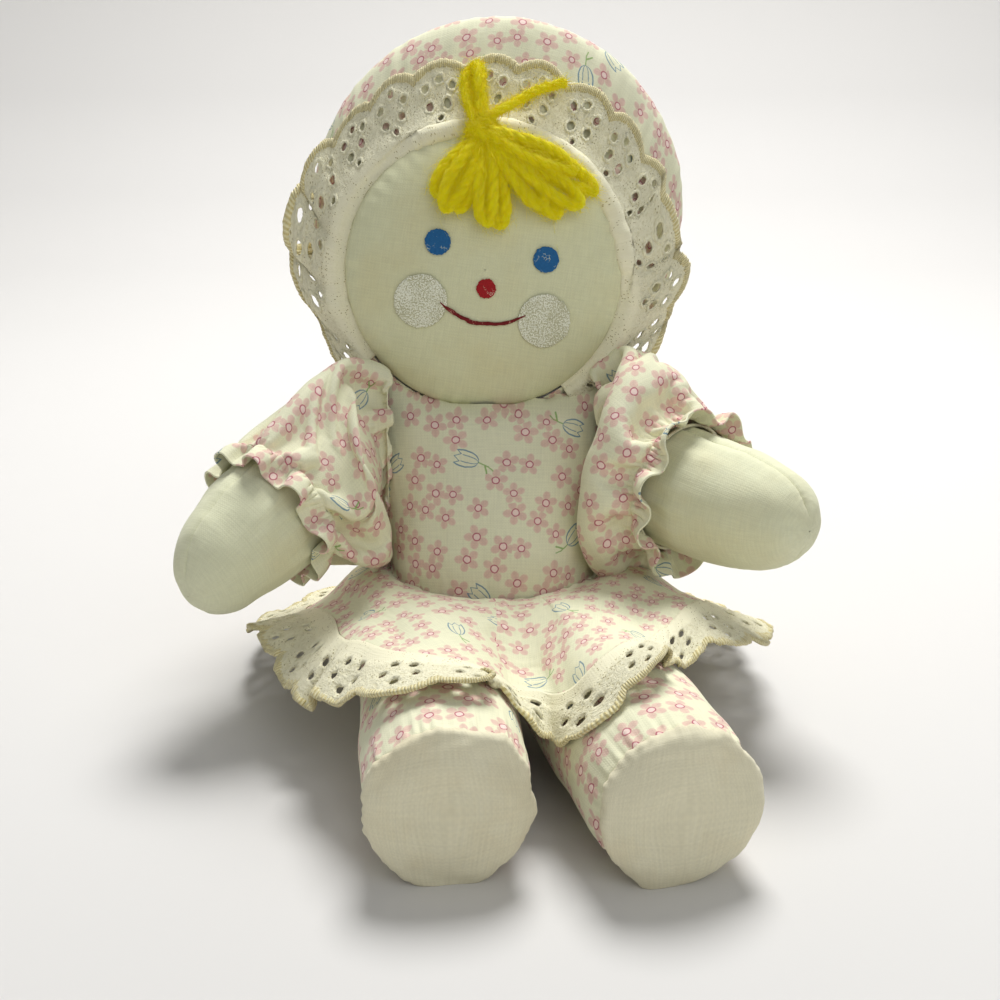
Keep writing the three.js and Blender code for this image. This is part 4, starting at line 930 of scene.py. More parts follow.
yellow_yarn = acrylic_yarn("yellow acrylic yarn", "#fff604", "#ffdf00")
LOCKS = (
    ((-16.2, 18.4), 2.9, 0.0), ((-13.2, 14.2), 2.3, 1.7), ((-9.4, 14.8), 1.8, 0.4), ((-1.6, 12.4), 2.3, 1.6),
    ((2.6, 12.6), 2.2, 0.3), ((12.4, 19.6), 2.4, 2.0), ((17.0, 17.8), 2.5, 0.5), ((21.6, 20.8), 2.6, 2.3),
    ((25.6, 25.4), 2.6, 0.9), ((18.6, 28.8), 2.2, 3.2),
)


def hair_point(x, z, lift):
    """A place above the face, or above the bonnet lace past the face's rim."""
    reach = math.hypot(x, z)
    limit = FACE_RADIUS - 4
    if reach < limit:
        return face_point(x, z, lift)
    rim = face_point(x * limit / reach, z * limit / reach, lift)
    line = head_surface(math.atan2(z, x), np.linspace(0, 30, 80))
    over = reach - limit
    place, ahead = along_line(line, walk(line), [over, over + 0.5])
    normal = np.cross(np.array([-z, 0, x]), ahead - place)
    normal = normal / math.copysign(np.linalg.norm(normal), -normal[1])
    return mix(rim, place + normal * (LACE_STANDS + lift), min(1.0, over / 9))


strands = []
for lock, (tip, bow, layer) in enumerate(LOCKS):
    draw = np.random.default_rng(90 + lock)
    along = np.array(tip) - KNOT
    across = np.array([-along[1], along[0]]) / np.linalg.norm(along)
    path = []
    for turn in np.linspace(0.08 * math.pi, 1.92 * math.pi, 11):
        reach = 0.5 - 0.5 * math.cos(turn)
        off = bow * math.sin(turn) * min(1, 0.4 + reach) + draw.normal(0, 0.25)
        x, z = KNOT + along * reach + across * off
        path.append(hair_point(x, z, 2.1 + layer + 1.6 * math.sin(math.pi * reach) + draw.normal(0, 0.15)))
    strands += yarn_strands(curve(path, 160), YARN_RADIUS, 100 + lock)
for number_tied in range(5):
    lean = -0.9 + 0.45 * number_tied
    middle = KNOT + [0, 0.3 + 0.9 * (number_tied - 2)]
    wrap = []
    for turn in np.linspace(0, FULL_TURN, 15)[:-1]:
        x, z = middle + math.cos(turn) * np.array([3.4 * math.cos(lean), 1.4 * math.sin(lean)])
        wrap.append(hair_point(x, z, 3.4 + 2.6 * math.sin(turn)))
    strands += yarn_strands(curve(wrap, 90, closed=True), YARN_RADIUS * 0.85, 130 + number_tied)
yarn_piece("forelock", "forelock_loops", strands)

tie_path = ((-8.0, 36.0, 5.6), (-11.4, 41.5, 3.4), (-13.6, 46.5, 1.6), (-12.4, 50.8, 1.3), (-10.0, 49.0, 2.2),
            (-8.6, 43.0, 4.2), (-6.4, 38.6, 6.0), (-1.5, 41.4, 5.2), (6.5, 46.2, 2.6), (14.4, 50.6, 1.6))
short_loop = ((-7.0, 36.0, 5.0), (-9.4, 43.0, 2.4), (-11.0, 47.6, 1.6), (-11.6, 50.2, 2.6), (-9.2, 45.0, 4.6),
              (-6.0, 37.0, 5.4))
strands = []
for path, count, thick, seed in ((tie_path, 220, 0.78, 141), (short_loop, 120, 0.9, 142)):
    strands += yarn_strands(curve([hair_point(*place) for place in path], count), YARN_RADIUS * thick, seed)
yarn_piece("forelock_tie_yarn", "forelock_tie", strands)


# Body: two panels of the same printed lawn, front and back, seamed at the sides and stuffed firm. The top is
# sewn to the head all round, and its neck edge is shaped round the head.
TORSO_HEIGHT, WAIST_HEIGHT = 92.0, 32.0
SHOULDER_HALF, WAIST_HALF, SEAT_HALF, BELLY_FRONT, BACK_DEPTH = 34.6, 32.0, 25.0, 28.5, 34.5
TORSO_RINGS = (
    (SHOULDER_HALF - 5, 12, 24), (SHOULDER_HALF, 5, 29), (SHOULDER_HALF, -5, 32),
    (mix(SHOULDER_HALF, WAIST_HALF, 0.6), -17, BACK_DEPTH - 0.5), (WAIST_HALF, -25, BACK_DEPTH),
    (WAIST_HALF, -BELLY_FRONT, BACK_DEPTH), (WAIST_HALF - 1, 1.5 - BELLY_FRONT, BACK_DEPTH - 1),
    (WAIST_HALF - 4, 7.5 - BELLY_FRONT, BACK_DEPTH - 3.5), (SEAT_HALF, 13.5 - BELLY_FRONT, BACK_DEPTH - 7.5))
TORSO_HEIGHTS = (1, 0.935, 0.81, 0.63, 0.46, 0.33, 0.18, 0.06, 0)
RING_STEPS = 8 * 60 + 1
ring_table = curve(TORSO_RINGS, RING_STEPS)
ring_levels = 1 - np.interp(np.linspace(0, 8, RING_STEPS), range(9), TORSO_HEIGHTS)
dress_print = printed_cotton("printed cotton lawn of the dress", 7)


def rounded(value, power):
    return np.sign(value) * np.abs(value) ** power


def torso_ring(z):
    """Half width, middle and half depth of the body at a height."""
    level = 1 - np.clip(z / TORSO_HEIGHT, 0, 1)
    wide, front, back = np.moveaxis(along_line(ring_table, ring_levels, level), -1, 0)
    return wide, (front + back) / 2, (back - front) / 2


def torso_surface(turn, z, inset=0.0):
    """Points of the body's stuffed form, at a turn round it from the doll's left and at a height."""
    wide, middle, deep = torso_ring(z)
    return np.stack([(wide - inset) * rounded(np.cos(turn), 0.9),
                     middle + (deep - inset) * rounded(np.sin(turn), 0.9), z + 0 * turn], -1)


def inside_head(points):
    """How deep points lie in the head's form, measured across it, and the way straight out."""
    local = to_head(points)
    radius, x, z = head_ring(np.clip(local[..., 1], -FACE_DOME + 0.01, HEAD_DEPTH - 0.01))
    off = np.stack([local[..., 0] - x, 0 * x, local[..., 2] - z], -1)
    reach = np.linalg.norm(off, axis=-1)
    within = (local[..., 1] > -FACE_DOME) & (local[..., 1] < HEAD_DEPTH)
    return np.where(within, radius - reach, -9.0), (off / np.maximum(reach, 1e-6)[..., None]) @ head_turn.T


BODY_TURNS = 380
NECK_LOW, NECK_HIGH, NECK_BACK, NECK_OVERLAP = 76.5, 83.5, 15.0, 2.8
turn, z = np.meshgrid(np.linspace(-math.pi, math.pi, BODY_TURNS + 1), np.concatenate([
    np.linspace(TORSO_HEIGHT, 2.5, 114), 2.5 * (1 - np.linspace(0, 1, 15)[1:]) ** 1.5]))
grid = torso_surface(turn, z)
normal = outwards(grid, np.stack([0 * z, 0 * z + 4, z], -1))
girth = torso_surface(turn[:1], 45 + 0 * turn[:1])
around = walk(girth[0]) + 0 * z
walked = np.stack([walk(line) for line in grid.swapaxes(0, 1)], 1)
seam = np.abs(np.sin(turn)) * 30
dip = NECK_BACK * smooth(z, NECK_LOW, NECK_HIGH) * np.exp(-((grid[..., 0] - 2) / 25) ** 4) * (turn < 0)
grid[..., 1] = np.minimum(grid[..., 1] + dip, np.maximum(grid[..., 1], 17.0))
depth, _ = inside_head(grid)
at_neck = np.exp(-np.maximum(-depth, 0) / 5.5)
relief = 0.6 * waves(around, z, 31, 201, 2) + 0.25 * waves(around, z * 0.6, 11, 202)
relief += at_neck * 0.35 * waves(around, z * 0.15, 6.5, 203) * smooth(-depth, 0, 2)
relief += np.exp(-((z - WAIST_HEIGHT) / 6) ** 2) * (0.35 * waves(around, z * 0.1, 7.0, 204) - 1.5)
relief += np.exp(-seam / 3.5) * 0.35 * waves(seam * 0.15, z, 7.5, 205) - 0.8 * np.exp(-seam / 0.7)
grid = grid + normal * (relief * smooth(z, 0.2, 4) * smooth(TORSO_HEIGHT - z, -0.5, 3))[..., None]
# The shoulder seam closes the two panels over the top.
top = []
for share in (1.0, 0.8, 0.5, 0.2):
    row = grid[0].copy()
    row[:, 1] = mix(row[:, 1], 18.0, math.sin(share * math.pi / 2))
    row[:, 2] += 3.0 * (1 - math.cos(share * math.pi / 2)) * (1 - 0.3 * share)
    top.append(row)
grid = np.concatenate([np.array(top), grid])
around = np.concatenate([around[:4], around])
walked = np.concatenate([walked[:1] - np.array([6.0, 4.5, 3.0, 1.5])[:, None], walked])
depth, outward = inside_head(grid)
grid = grid + outward * ((depth - 0.4) * (depth > 0) * (depth < NECK_OVERLAP))[..., None]
order = facing(grid, grid - [0, 4, 40])
flat = np.stack([around, walked], -1)
for name, part in (("front", slice(0, BODY_TURNS // 2 + 1)), ("back", slice(BODY_TURNS // 2, None))):
    half, lie, deep = (field[:, part][:, order] for field in (grid, flat, depth))
    faces, _ = grid_faces(*half.shape[:2])
    faces = faces[deep.reshape(-1)[faces].max(axis=1) < NECK_OVERLAP]
    lie = lie.reshape(-1, 2)[faces]
    piece = make_mesh(f"bodice_{name}_cloth", half.reshape(-1, 3), faces, lie, dress_print)
    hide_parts(f"bodice_{name}")
    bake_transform(piece)

# Stuffing: loose white polyester fibre, pressed into tufts. It fills each bag under its cloth.
TUFT, UNDER_CLOTH = 7.0, 1.6


def loose_fibre(name, color, shade):
    """Crimped polyester staple: pure white, matt, with soft hollows between its tufts."""
    material, tree = new_material(name)
    place = add(tree, "TexCoord").outputs["Object"]
    fibres = noise(tree, place, 900.0, 5.0, Roughness=0.75, Distortion=1.5)
    finish_material(tree, tint(tree, fibres, shade, color), 0.95, (fibres, 0.0006, 1.0), Sheen_Weight=0.4,
                    Specular_IOR_Level=0.2)
    return material


fibre = loose_fibre("polyester fibre filling", "#f6f4ee", "#e2ded3")


def filling(name, grid, node, body, seed):
    """A tufted mass of fibre over a tube of points, closed at both ends."""
    ends = [np.broadcast_to(row.mean(axis=0), row.shape)[None] for row in (grid[0], grid[-1])]
    grid = np.concatenate([ends[0], grid, ends[1]])
    out = normals_of(grid)
    middle = grid.reshape(-1, 3).mean(axis=0)
    if np.einsum("ijk,ijk->", out, grid - middle) < 0:
        out = -out
        grid, out = grid[::-1], out[::-1]
    tufts = waves(grid[..., 0] + 0.7 * grid[..., 1], grid[..., 2] - 0.4 * grid[..., 1], TUFT, seed)
    grid = grid + out * (0.5 * np.minimum(tufts, 0.4) - 0.3)[..., None]
    piece = make_sheet(name, grid, grid[..., [0, 2]], fibre, closed=True)
    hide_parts(node)
    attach(piece, body)


turn, depth = np.meshgrid(np.linspace(0, FULL_TURN, 91), np.concatenate([
    FACE_DOME * (np.linspace(0.03, 1, 14) ** 1.5 - 1), np.linspace(1, HEAD_DEPTH - 0.05, 50)]))
radius, x, z = head_ring(depth)
centre = np.stack([x, depth, z], -1)
shrunk = np.maximum(radius - UNDER_CLOTH, 0.05) / np.maximum(radius, 0.05)
grid = centre + (head_surface(turn, depth) - centre) * shrunk[..., None]
grid[..., 1] = np.clip(grid[..., 1], -FACE_DOME + UNDER_CLOTH, HEAD_DEPTH - UNDER_CLOTH)
filling("head_fibre", from_head(grid), "head_filling", "head", 241)

# Rattle: a snap-together capsule moulded in natural polyethylene, with six beads, buried in the stuffing.
CAPSULE = np.array([0.0, 5.0, 42.0])
CAPSULE_RADIUS, CAPSULE_WALL, LIP, RIM = 17.0, 1.4, 1.6, 1.3
BEAD_RADIUS = 2.5
LAYER_SPLIT = 0.15


def moulded_plastic(name, color, roughness, clear):
    """Injection-moulded plastic with a fine eroded texture and a little light in it."""
    material, tree = new_material(name)
    grain = noise(tree, add(tree, "TexCoord").outputs["Object"], 2600.0)
    finish_material(tree, color, roughness, (grain, 0.00005, 0.5), IOR=1.5, Subsurface_Weight=clear,
                    Subsurface_Radius=(0.002,) * 3)
    return material


capsule_plastic = moulded_plastic("natural polyethylene", "#dfe3e6", 0.42, 0.3)
bead_plastic = moulded_plastic("polystyrene beads", "#c9d0d6", 0.28, 0.1)


def fibre_half(name, sign, top, node):
    """Half of the body's stuffing, hollowed for the capsule and for the head above it."""
    turn, z = np.meshgrid(np.linspace(0, math.pi, 61) - (math.pi if sign < 0 else 0), np.concatenate([
        np.linspace(top, 3.0, 60), [1.7, 1.3]]))
    outer = torso_surface(turn, z, 1.8 + 2.4 * np.exp(-((z - WAIST_HEIGHT) / 8) ** 2))
    depth, away = inside_head(outer)
    outer = outer + away * np.clip(depth + UNDER_CLOTH, 0, None)[..., None]
    split = CAPSULE[1] + sign * LAYER_SPLIT
    outer[..., 1] = np.where(sign * (outer[..., 1] - split) < 0, split, outer[..., 1])
    inner = mix(outer[:, :1], outer[:, -1:], np.linspace(0, 1, 61)[:, None])
    inner[..., 1] = split
    across = np.hypot(inner[..., 0] - CAPSULE[0], inner[..., 2] - CAPSULE[2])
    room = CAPSULE_RADIUS + RIM + 0.8
    inner[..., 1] += sign * np.sqrt(np.clip(room ** 2 - across ** 2, 0, None))
    inner[..., 1] = sign * np.minimum(sign * inner[..., 1], sign * outer[..., 1])
    ring = np.concatenate([outer, inner[:, ::-1], outer[:, :1]], axis=1)
    caps = [np.repeat(ring[[end]].mean(axis=1, keepdims=True), ring.shape[1], axis=1) for end in (0, -1)]
    grid = np.concatenate([caps[0], ring, caps[1]])
    piece = make_sheet(name, grid, grid[..., [0, 2]], fibre, closed=True)
    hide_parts(node)
    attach(piece, "torso")


fibre_half("body_fibre_front", -1, 64.0, "torso_filling_front")
fibre_half("body_fibre_back", 1, 78.0, "torso_filling_back")


def capsule_half(name, sign, node):
    """One half shell with its snap rim and a ring of small grip ribs."""
    inner = CAPSULE_RADIUS - CAPSULE_WALL
    angle = np.linspace(0, math.pi / 2, 26)
    shell = np.stack([np.sin(angle), np.cos(angle)], 1)
    outer = shell[CAPSULE_RADIUS * shell[:, 1] > LIP] * CAPSULE_RADIUS
    lip = [(0.05, LIP + 0.3), (RIM - 0.25, LIP), (RIM, LIP - 0.25), (RIM, 0.3), (RIM - 0.25, 0.05)]
    profile = [*outer, *(np.array(lip) + [CAPSULE_RADIUS, 0]), (inner, 0.05), *(shell[-2::-1] * inner)]
    turn, level = np.meshgrid(np.linspace(0, FULL_TURN, 97), np.arange(len(profile)) * 1.0)
    radius, height = np.array(profile).T[..., None]
    reach = radius + 0.12 * np.cos(turn * 48) * (radius > CAPSULE_RADIUS + 1.0)
    grid = np.stack([reach * np.cos(turn), reach * np.sin(turn), sign * height + 0 * turn], -1)[::sign]
    flat = np.stack([turn * CAPSULE_RADIUS, level], -1)
    piece = make_sheet(name, grid + CAPSULE, flat, capsule_plastic, closed=True)
    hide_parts(node)
    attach(piece, "torso")


capsule_half("capsule_upper", 1, "rattle_shell_upper")
capsule_half("capsule_lower", -1, "rattle_shell_lower")
bead_room = CAPSULE_RADIUS - CAPSULE_WALL - BEAD_RADIUS - 0.3
for bead_number in range(6):
    ring = 7.5 if bead_number else 0.0
    turn = FULL_TURN * bead_number / 5
    middle = CAPSULE + [ring * math.cos(turn), ring * math.sin(turn), -math.sqrt(bead_room ** 2 - ring ** 2)]
    spin, height = np.meshgrid(np.linspace(0, FULL_TURN, 33), np.linspace(0.01, math.pi - 0.01, 18))
    parting = 1 + 0.012 * np.exp(-((height - math.pi / 2) / 0.06) ** 2)
    size = BEAD_RADIUS * 0.99 * parting * (1 - 0.03 * (np.abs(np.cos(height)) > 0.985))
    grid = np.stack([size * np.sin(height) * np.cos(spin), size * np.sin(height) * np.sin(spin),
                     size * np.cos(height)], -1)
    name = f"bead_{bead_number + 1}"
    bead = make_sheet(name, grid + middle, np.stack([spin, height], -1), bead_plastic, closed=True)
    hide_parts(f"rattle_{name}")
    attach(bead, name)


# Arms: two cream muslin panels each, seamed above and below and over the hand, turned and stuffed firm. The
# seam lies in a shallow groove and puckers the cloth beside it. The arm narrows into the side seam.
ARM_WIDE, ARM_HIGH, ARM_SWELL, ARM_PINCH = 15.2, 16.2, 0.05, 0.3
SHOULDER_Y, SHOULDER_Z = 6.0, 68.0
ARM_ROUND = 16.0
ARM_ROOT = SHOULDER_HALF + 0.6
ARMS = {
    "left": (1, np.array([ARM_ROOT, SHOULDER_Y - 3, SHOULDER_Z - 4]), np.array([81.0, -49, 60]), -1.5, 0.36),
    "right": (-1, np.array([-ARM_ROOT, SHOULDER_Y, SHOULDER_Z + 1]), np.array([-80.0, -48, 41.5]), 3.0, 0.5),
}
MIDDLE_LINE = 99.0
arm_muslin = muslin("cotton muslin of the arms", "#e6e7c8", "#dcdcb8", "#d6c898", 0.4)


def limb_frame(start, end):
    """The directions along a limb, across it and up."""
    along = (end - start) / np.linalg.norm(end - start)
    across = np.cross([0, 0, 1.0], along)
    across /= np.linalg.norm(across)
    return np.stack([along, across, np.cross(along, across)])


def arm_ring(t, arch):
    """Half width, half height and rise of an arm's rounds, at a share of its length."""
    pinch = smooth(t, -0.5 * ARM_PINCH, ARM_PINCH)
    tip = np.sqrt(np.clip(1 - t ** 7, 0, 1))
    swell = 1 + ARM_SWELL * np.sin(math.pi * t)
    wide = ARM_WIDE * swell * tip * mix(0.02, 1, (pinch - 0.16) / 0.84)
    high = ARM_HIGH * swell * tip * mix(0.62, 1, pinch)
    return wide, high, arch * np.sin(math.pi * t)


def arm_surface(side, turn, t, inset=0.0):
    _, start, end, arch, _ = ARMS[side]
    wide, high, rise = arm_ring(t, arch)
    length = np.linalg.norm(end - start)
    local = np.stack([t * length + inset * (1 - 2 * t), np.maximum(wide - inset, 0.2) * np.cos(turn),
                      rise + np.maximum(high - inset, 0.2) * np.sin(turn)], -1)
    return start + local @ limb_frame(start, end)


for side, (sign, start, end, arch, cuff) in ARMS.items():
    turn, t = np.meshgrid(np.linspace(-math.pi / 2, 1.5 * math.pi, 161), np.concatenate([
        np.linspace(0.03, 0.86, 92), 1 - 0.14 * (1 - np.linspace(0, 1, 37)[1:-1]) ** 1.9, [0.99999]]))
    grid = arm_surface(side, turn, t)
    out = outwards(grid, arm_surface(side, turn, t, MIDDLE_LINE))
    length = np.linalg.norm(end - start)
    around = (turn + math.pi / 2) * ARM_ROUND
    round_here = ARM_ROUND * np.sqrt(np.clip(1 - t ** 7, 0, 1))
    from_seam = np.abs(np.arcsin(np.clip(np.cos(turn), -1, 1))) * round_here
    along, across, up = t * length, ARM_ROUND * np.cos(turn), ARM_ROUND * np.sin(turn)
    seed = 300 + 20 * (sign > 0)
    relief = 0.6 * waves(along, up, 30, seed, 2) + 0.3 * waves(along, across, 19, seed + 7, 2)
    relief += np.exp(-from_seam / 3.4) * 0.4 * waves(along, 9 * np.sin(turn), 6.5, seed + 1)
    relief -= 0.5 * np.exp(-from_seam / 0.6)
    at_cuff = np.exp(-np.abs(along - cuff * length - 6) / 8)
    relief += at_cuff * 0.45 * ripples(turn, 17, seed + 2, 0.4)
    relief += at_cuff * 0.3 * waves(along * 0.4, around * 0.6, 8, seed + 3)
    grid = grid + out * (relief * smooth(1 - t, 0, 0.03))[..., None]
    flat = np.stack([along, around], -1)
    order = facing(grid, out)
    for name, part in zip(("back", "front")[::sign], (slice(0, 81), slice(80, None))):
        panel = make_sheet(f"arm_{name}_{side}", grid[:, part][:, order], flat[:, part][:, order], arm_muslin)
        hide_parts(f"arm_panel_{name}_{side}")
        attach(panel, f"arm_{side}")
    turn, t = np.meshgrid(np.linspace(0, FULL_TURN, 61), [0.04, *np.linspace(0.06, 0.97, 40), 0.985])
    grid = arm_surface(side, turn, t, UNDER_CLOTH)
    filling(f"arm_fibre_{side}", grid, f"arm_filling_{side}", f"arm_{side}", 340 + sign)


# Legs: a tube of the printed lawn each, closed by a round muslin sole that is domed by the stuffing. The tube
# is sewn flat across the front of the seat. The sole's seam draws both cloths into deep short puckers.
LEG_WIDE, LEG_HIGH, LEG_FLAT, SOLE_DOME = 19.6, 19.5, 0.5, 4.0
LEG_MIDDLE = LEG_HIGH - LEG_FLAT
SOLE_WRAP, SOLE_FULL = 0.32, 5.0
LEG_ROUND, ON_FLOOR = 19.4, 0.02
LEGS = {
    "left": (1, np.array([18.5, -28.0, LEG_MIDDLE]), np.array([41.5, -114.5, LEG_MIDDLE])),
    "right": (-1, np.array([-18.5, -28.0, LEG_MIDDLE]), np.array([-10.0, -114.5, LEG_MIDDLE])),
}
leg_print = printed_cotton("printed cotton lawn of the legs", 12)
sole_muslin = muslin("cotton muslin of the soles", "#ebe5c9", "#dfd8b8", "#d6c49a", 0.55)


def leg_ring(seam, along):
    """Half width and half height of a leg's rounds, at a distance from the hip seam."""
    pinch = smooth(along / (seam + SOLE_DOME), -0.12, 0.34)
    dome = np.where(along <= seam, 1.0, np.sqrt(np.clip(1 - ((along - seam) / SOLE_DOME) ** 2, 0, 1)))
    return LEG_WIDE * dome * mix(0.72, 1, pinch), LEG_HIGH * dome * pinch


def leg_surface(side, turn, along, inset=0.0):
    """Points of a leg's stuffed form, at a turn round it and a distance from the hip seam."""
    _, start, end = LEGS[side]
    seam = np.linalg.norm(end - start)
    narrowed = 1 - 0.045 * smooth(along, seam - 12, seam)
    wide, high = (np.maximum(size * narrowed - inset, 0.1) for size in leg_ring(seam, along))
    up = np.maximum(high * rounded(np.sin(turn), 0.95), inset - LEG_MIDDLE)
    local = np.stack([along + 0 * turn, wide * rounded(np.cos(turn), 0.95), up], -1)
    return start + local @ limb_frame(start, end)


for side, (sign, start, end) in LEGS.items():
    seam = np.linalg.norm(end - start)
    draw_in = 400 + 30 * (sign > 0)
    along = np.concatenate([np.linspace(1.2, seam - 7, 84), seam - 7 * (1 - np.linspace(0, 1, 27)[1:]) ** 1.3])
    turn, along = np.meshgrid(np.linspace(-math.pi / 2, 1.5 * math.pi, 261), along)
    grid = leg_surface(side, turn, along)
    out = outwards(grid, leg_surface(side, turn, along, MIDDLE_LINE))
    near = seam - along
    around = turn * LEG_ROUND
    puckers = 0.6 * ripples(turn, 19, draw_in, 0.6) + 0.4 * ripples(turn, 44, draw_in + 1, 0.4)
    relief = np.exp(-near / 5.5) * puckers * smooth(near, 0, 2.5)
    relief += 0.55 * waves(around, along * 0.7, 24, draw_in + 2, 2)
    relief += np.exp(-along / 16) * 0.9 * waves(around, along * 0.25, 10, draw_in + 3) * smooth(along, 0, 4)
    relief -= 0.9 * np.exp(-near / 0.6)
    grid = grid + out * (relief * smooth(grid[..., 2], 0.15, 4.5))[..., None]
    grid[..., 2] = np.maximum(grid[..., 2], ON_FLOOR)
    rim = grid[-1:]
    flat = np.stack([around, along], -1)
    order = facing(grid, out)
    cover = make_sheet(f"leg_cloth_{side}", grid[order], flat[order], leg_print, closed=True)
    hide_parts(f"leg_cover_{side}")

    # The sole wraps a little round the foot before it meets the seam.
    lean = np.concatenate([np.linspace(-SOLE_WRAP, 0.35, 34), np.linspace(0.35, math.pi / 2, 34)[1:]])
    turn, lean = np.meshgrid(np.linspace(-math.pi / 2, 1.5 * math.pi, 261), lean)
    ahead = (end - start) / seam
    share = (np.clip(np.cos(lean), 0, 1) / math.cos(SOLE_WRAP)) ** 0.72
    depth = SOLE_FULL * (np.sin(lean) + math.sin(SOLE_WRAP)) / (1 + math.sin(SOLE_WRAP))
    grid = mix(end, rim, share[..., None]) + ahead * depth[..., None]
    from_seam = (lean + SOLE_WRAP) * 17
    flat = disk(21.5 * (1 - (lean + SOLE_WRAP) / (math.pi / 2 + SOLE_WRAP)), turn)
    relief = np.exp(-from_seam / 6.0) * smooth(from_seam, 0, 2.4) * (
        0.6 * ripples(turn, 17, draw_in + 4, 0.7) + 0.4 * ripples(turn, 41, draw_in + 5, 0.4))
    relief += (1.2 * waves(flat[..., 0], flat[..., 1], 20, draw_in + 6, 2)
               + 0.25 * waves(flat[..., 0], flat[..., 1], 9, draw_in + 7, 2)) * smooth(from_seam, 0, 4)
    relief += 0.9 * smooth(from_seam, 0, 1.0)
    out = outwards(grid, end - ahead * 9)
    out[-1] = ahead
    grid = grid + out * mix(relief, relief[-1].mean(), smooth(lean, 1.2, math.pi / 2))[..., None]
    grid[..., 2] = np.maximum(grid[..., 2], ON_FLOOR)
    order = facing(grid, ahead)
    sole = make_sheet(f"sole_cloth_{side}", grid[order], flat[order], sole_muslin, closed=True)
    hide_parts(f"leg_sole_{side}")
    for piece, finish in ((cover, "printed_cotton"), (sole, "sole_muslin")):
        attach(piece, f"leg_{side}")
    turn, along = np.meshgrid(np.linspace(0, FULL_TURN, 61), np.concatenate([
        np.linspace(1.4, seam - 2, 44), seam + SOLE_DOME * np.linspace(0, 0.9, 6)]))
    grid = leg_surface(side, turn, along, UNDER_CLOTH)
    grid = grid - ahead * UNDER_CLOTH * smooth(along, seam - 5, seam)[..., None]
    filling(f"leg_fibre_{side}", grid, f"leg_filling_{side}", f"leg_{side}", 460 + sign)


# Sleeves: a puff of the printed lawn each, gathered into the armhole and drawn in near its edge by a zigzag
# elastic thread. The cloth past the elastic makes a small frill with a narrow turned hem.
SLEEVE_HIGH, SLEEVE_WIDE, ARMHOLE_HIGH, ARMHOLE_WIDE = 26.0, 19.0, 22.0, 13.0
CUFF_AT, CUFF_FRILL, ELASTIC_RING, CUFF_RADIUS = 0.75, 6.0, 17.81, 18.91
SLEEVE_ROUND, SLEEVE_LONG, FRILL_WIDE, SLEEVE_PUFF = 168.0, 54.0, 7.5, 0.06
FOLDS = {"left": ((1.2, 0.5, 2.6, 0.2, 4.0), (3.6, 0.6, 4.4, 0.15, 4.0), (5.4, 0.2, 5.9, 0.6, 3.0)),
         "right": ((2.3, 0.1, 3.7, 0.6, 8.0), (0.9, 0.15, 1.7, 0.5, 5.5), (4.4, 0.2, 5.2, 0.6, 3.5))}
ARMHOLE_MIDDLE = np.array([SHOULDER_HALF - 5, SHOULDER_Y + 2, SHOULDER_Z - 4])
sleeve_print = printed_cotton("printed cotton lawn of the sleeves", 23)


def spread_between(count, fine, closed):
    """Weights that carry values at even steps to finer even steps, on a smooth curve through them."""
    at = np.linspace(0, count - 1, fine)
    low = np.minimum(at.astype(int), count - 2)
    part = at - low
    weights = np.zeros((fine, count))
    shares = (-0.5 * part + part ** 2 - 0.5 * part ** 3, 1 - 2.5 * part ** 2 + 1.5 * part ** 3,
              0.5 * part + 2 * part ** 2 - 1.5 * part ** 3, -0.5 * part ** 2 + 0.5 * part ** 3)
    for step, share in enumerate(shares, -1):
        place = low + step
        place = place % (count - 1) if closed else np.clip(place, 0, count - 1)
        np.add.at(weights, (np.arange(fine), place), share)
    return weights


def refined(grid, rows, columns):
    """A grid whose last column repeats the first, with more rows and columns."""
    grid = np.einsum("ab,bcd->acd", spread_between(grid.shape[0], rows, False), grid)
    grid = np.einsum("ab,cbd->cad", spread_between(grid.shape[1], columns, True), grid)
    grid[:, -1] = grid[:, 0]
    return grid


def outside_form(size, long, start, axes, room):
    """Lifts points out of a stuffed form, with room between. Its size at a distance along its first axis is
    two half widths and the middle between them."""
    def lift(points):
        local = (points - start) @ axes.T
        *half, middle = size(local[..., 0])
        off = local[..., 1:] - middle
        reach = np.linalg.norm(off / (np.stack(half, -1) + room), axis=-1)
        inside = (reach < 1) & (local[..., 0] > 0) & (local[..., 0] < long)
        local[..., 1:] = middle + off * np.where(inside, 1 / np.maximum(reach, 0.05), 1.0)[..., None]
        return start + local @ axes

    return lift


def outside_arm(side, room):
    _, start, end, arch, _ = ARMS[side]
    length = np.linalg.norm(end - start)

    def size(along):
        wide, high, rise = arm_ring(np.clip(along / length, 0, 1), arch)
        return wide, high, np.stack([0 * rise, rise], -1)

    return outside_form(size, length, start, limb_frame(start, end), room)


def outside_leg(side, room):
    _, start, end = LEGS[side]
    seam = np.linalg.norm(end - start)
    long = seam + SOLE_DOME

    def size(along):
        return *leg_ring(seam, np.clip(along, 0, long - 0.01)), 0.0

    return outside_form(size, long, start, limb_frame(start, end), room)


def outside_body(room):
    def size(height):
        wide, middle, deep = torso_ring(height)
        return wide, deep, np.stack([0 * middle, middle], -1)

    upright = np.array([[0.0, 0, 1], [1, 0, 0], [0, 1, 0]])
    return outside_form(size, TORSO_HEIGHT + room, np.zeros(3), upright, room)


def outside_head(room):
    def lift(points):
        depth, out = inside_head(points)
        return points + out * np.clip(depth + room, 0, None)[..., None]

    return lift


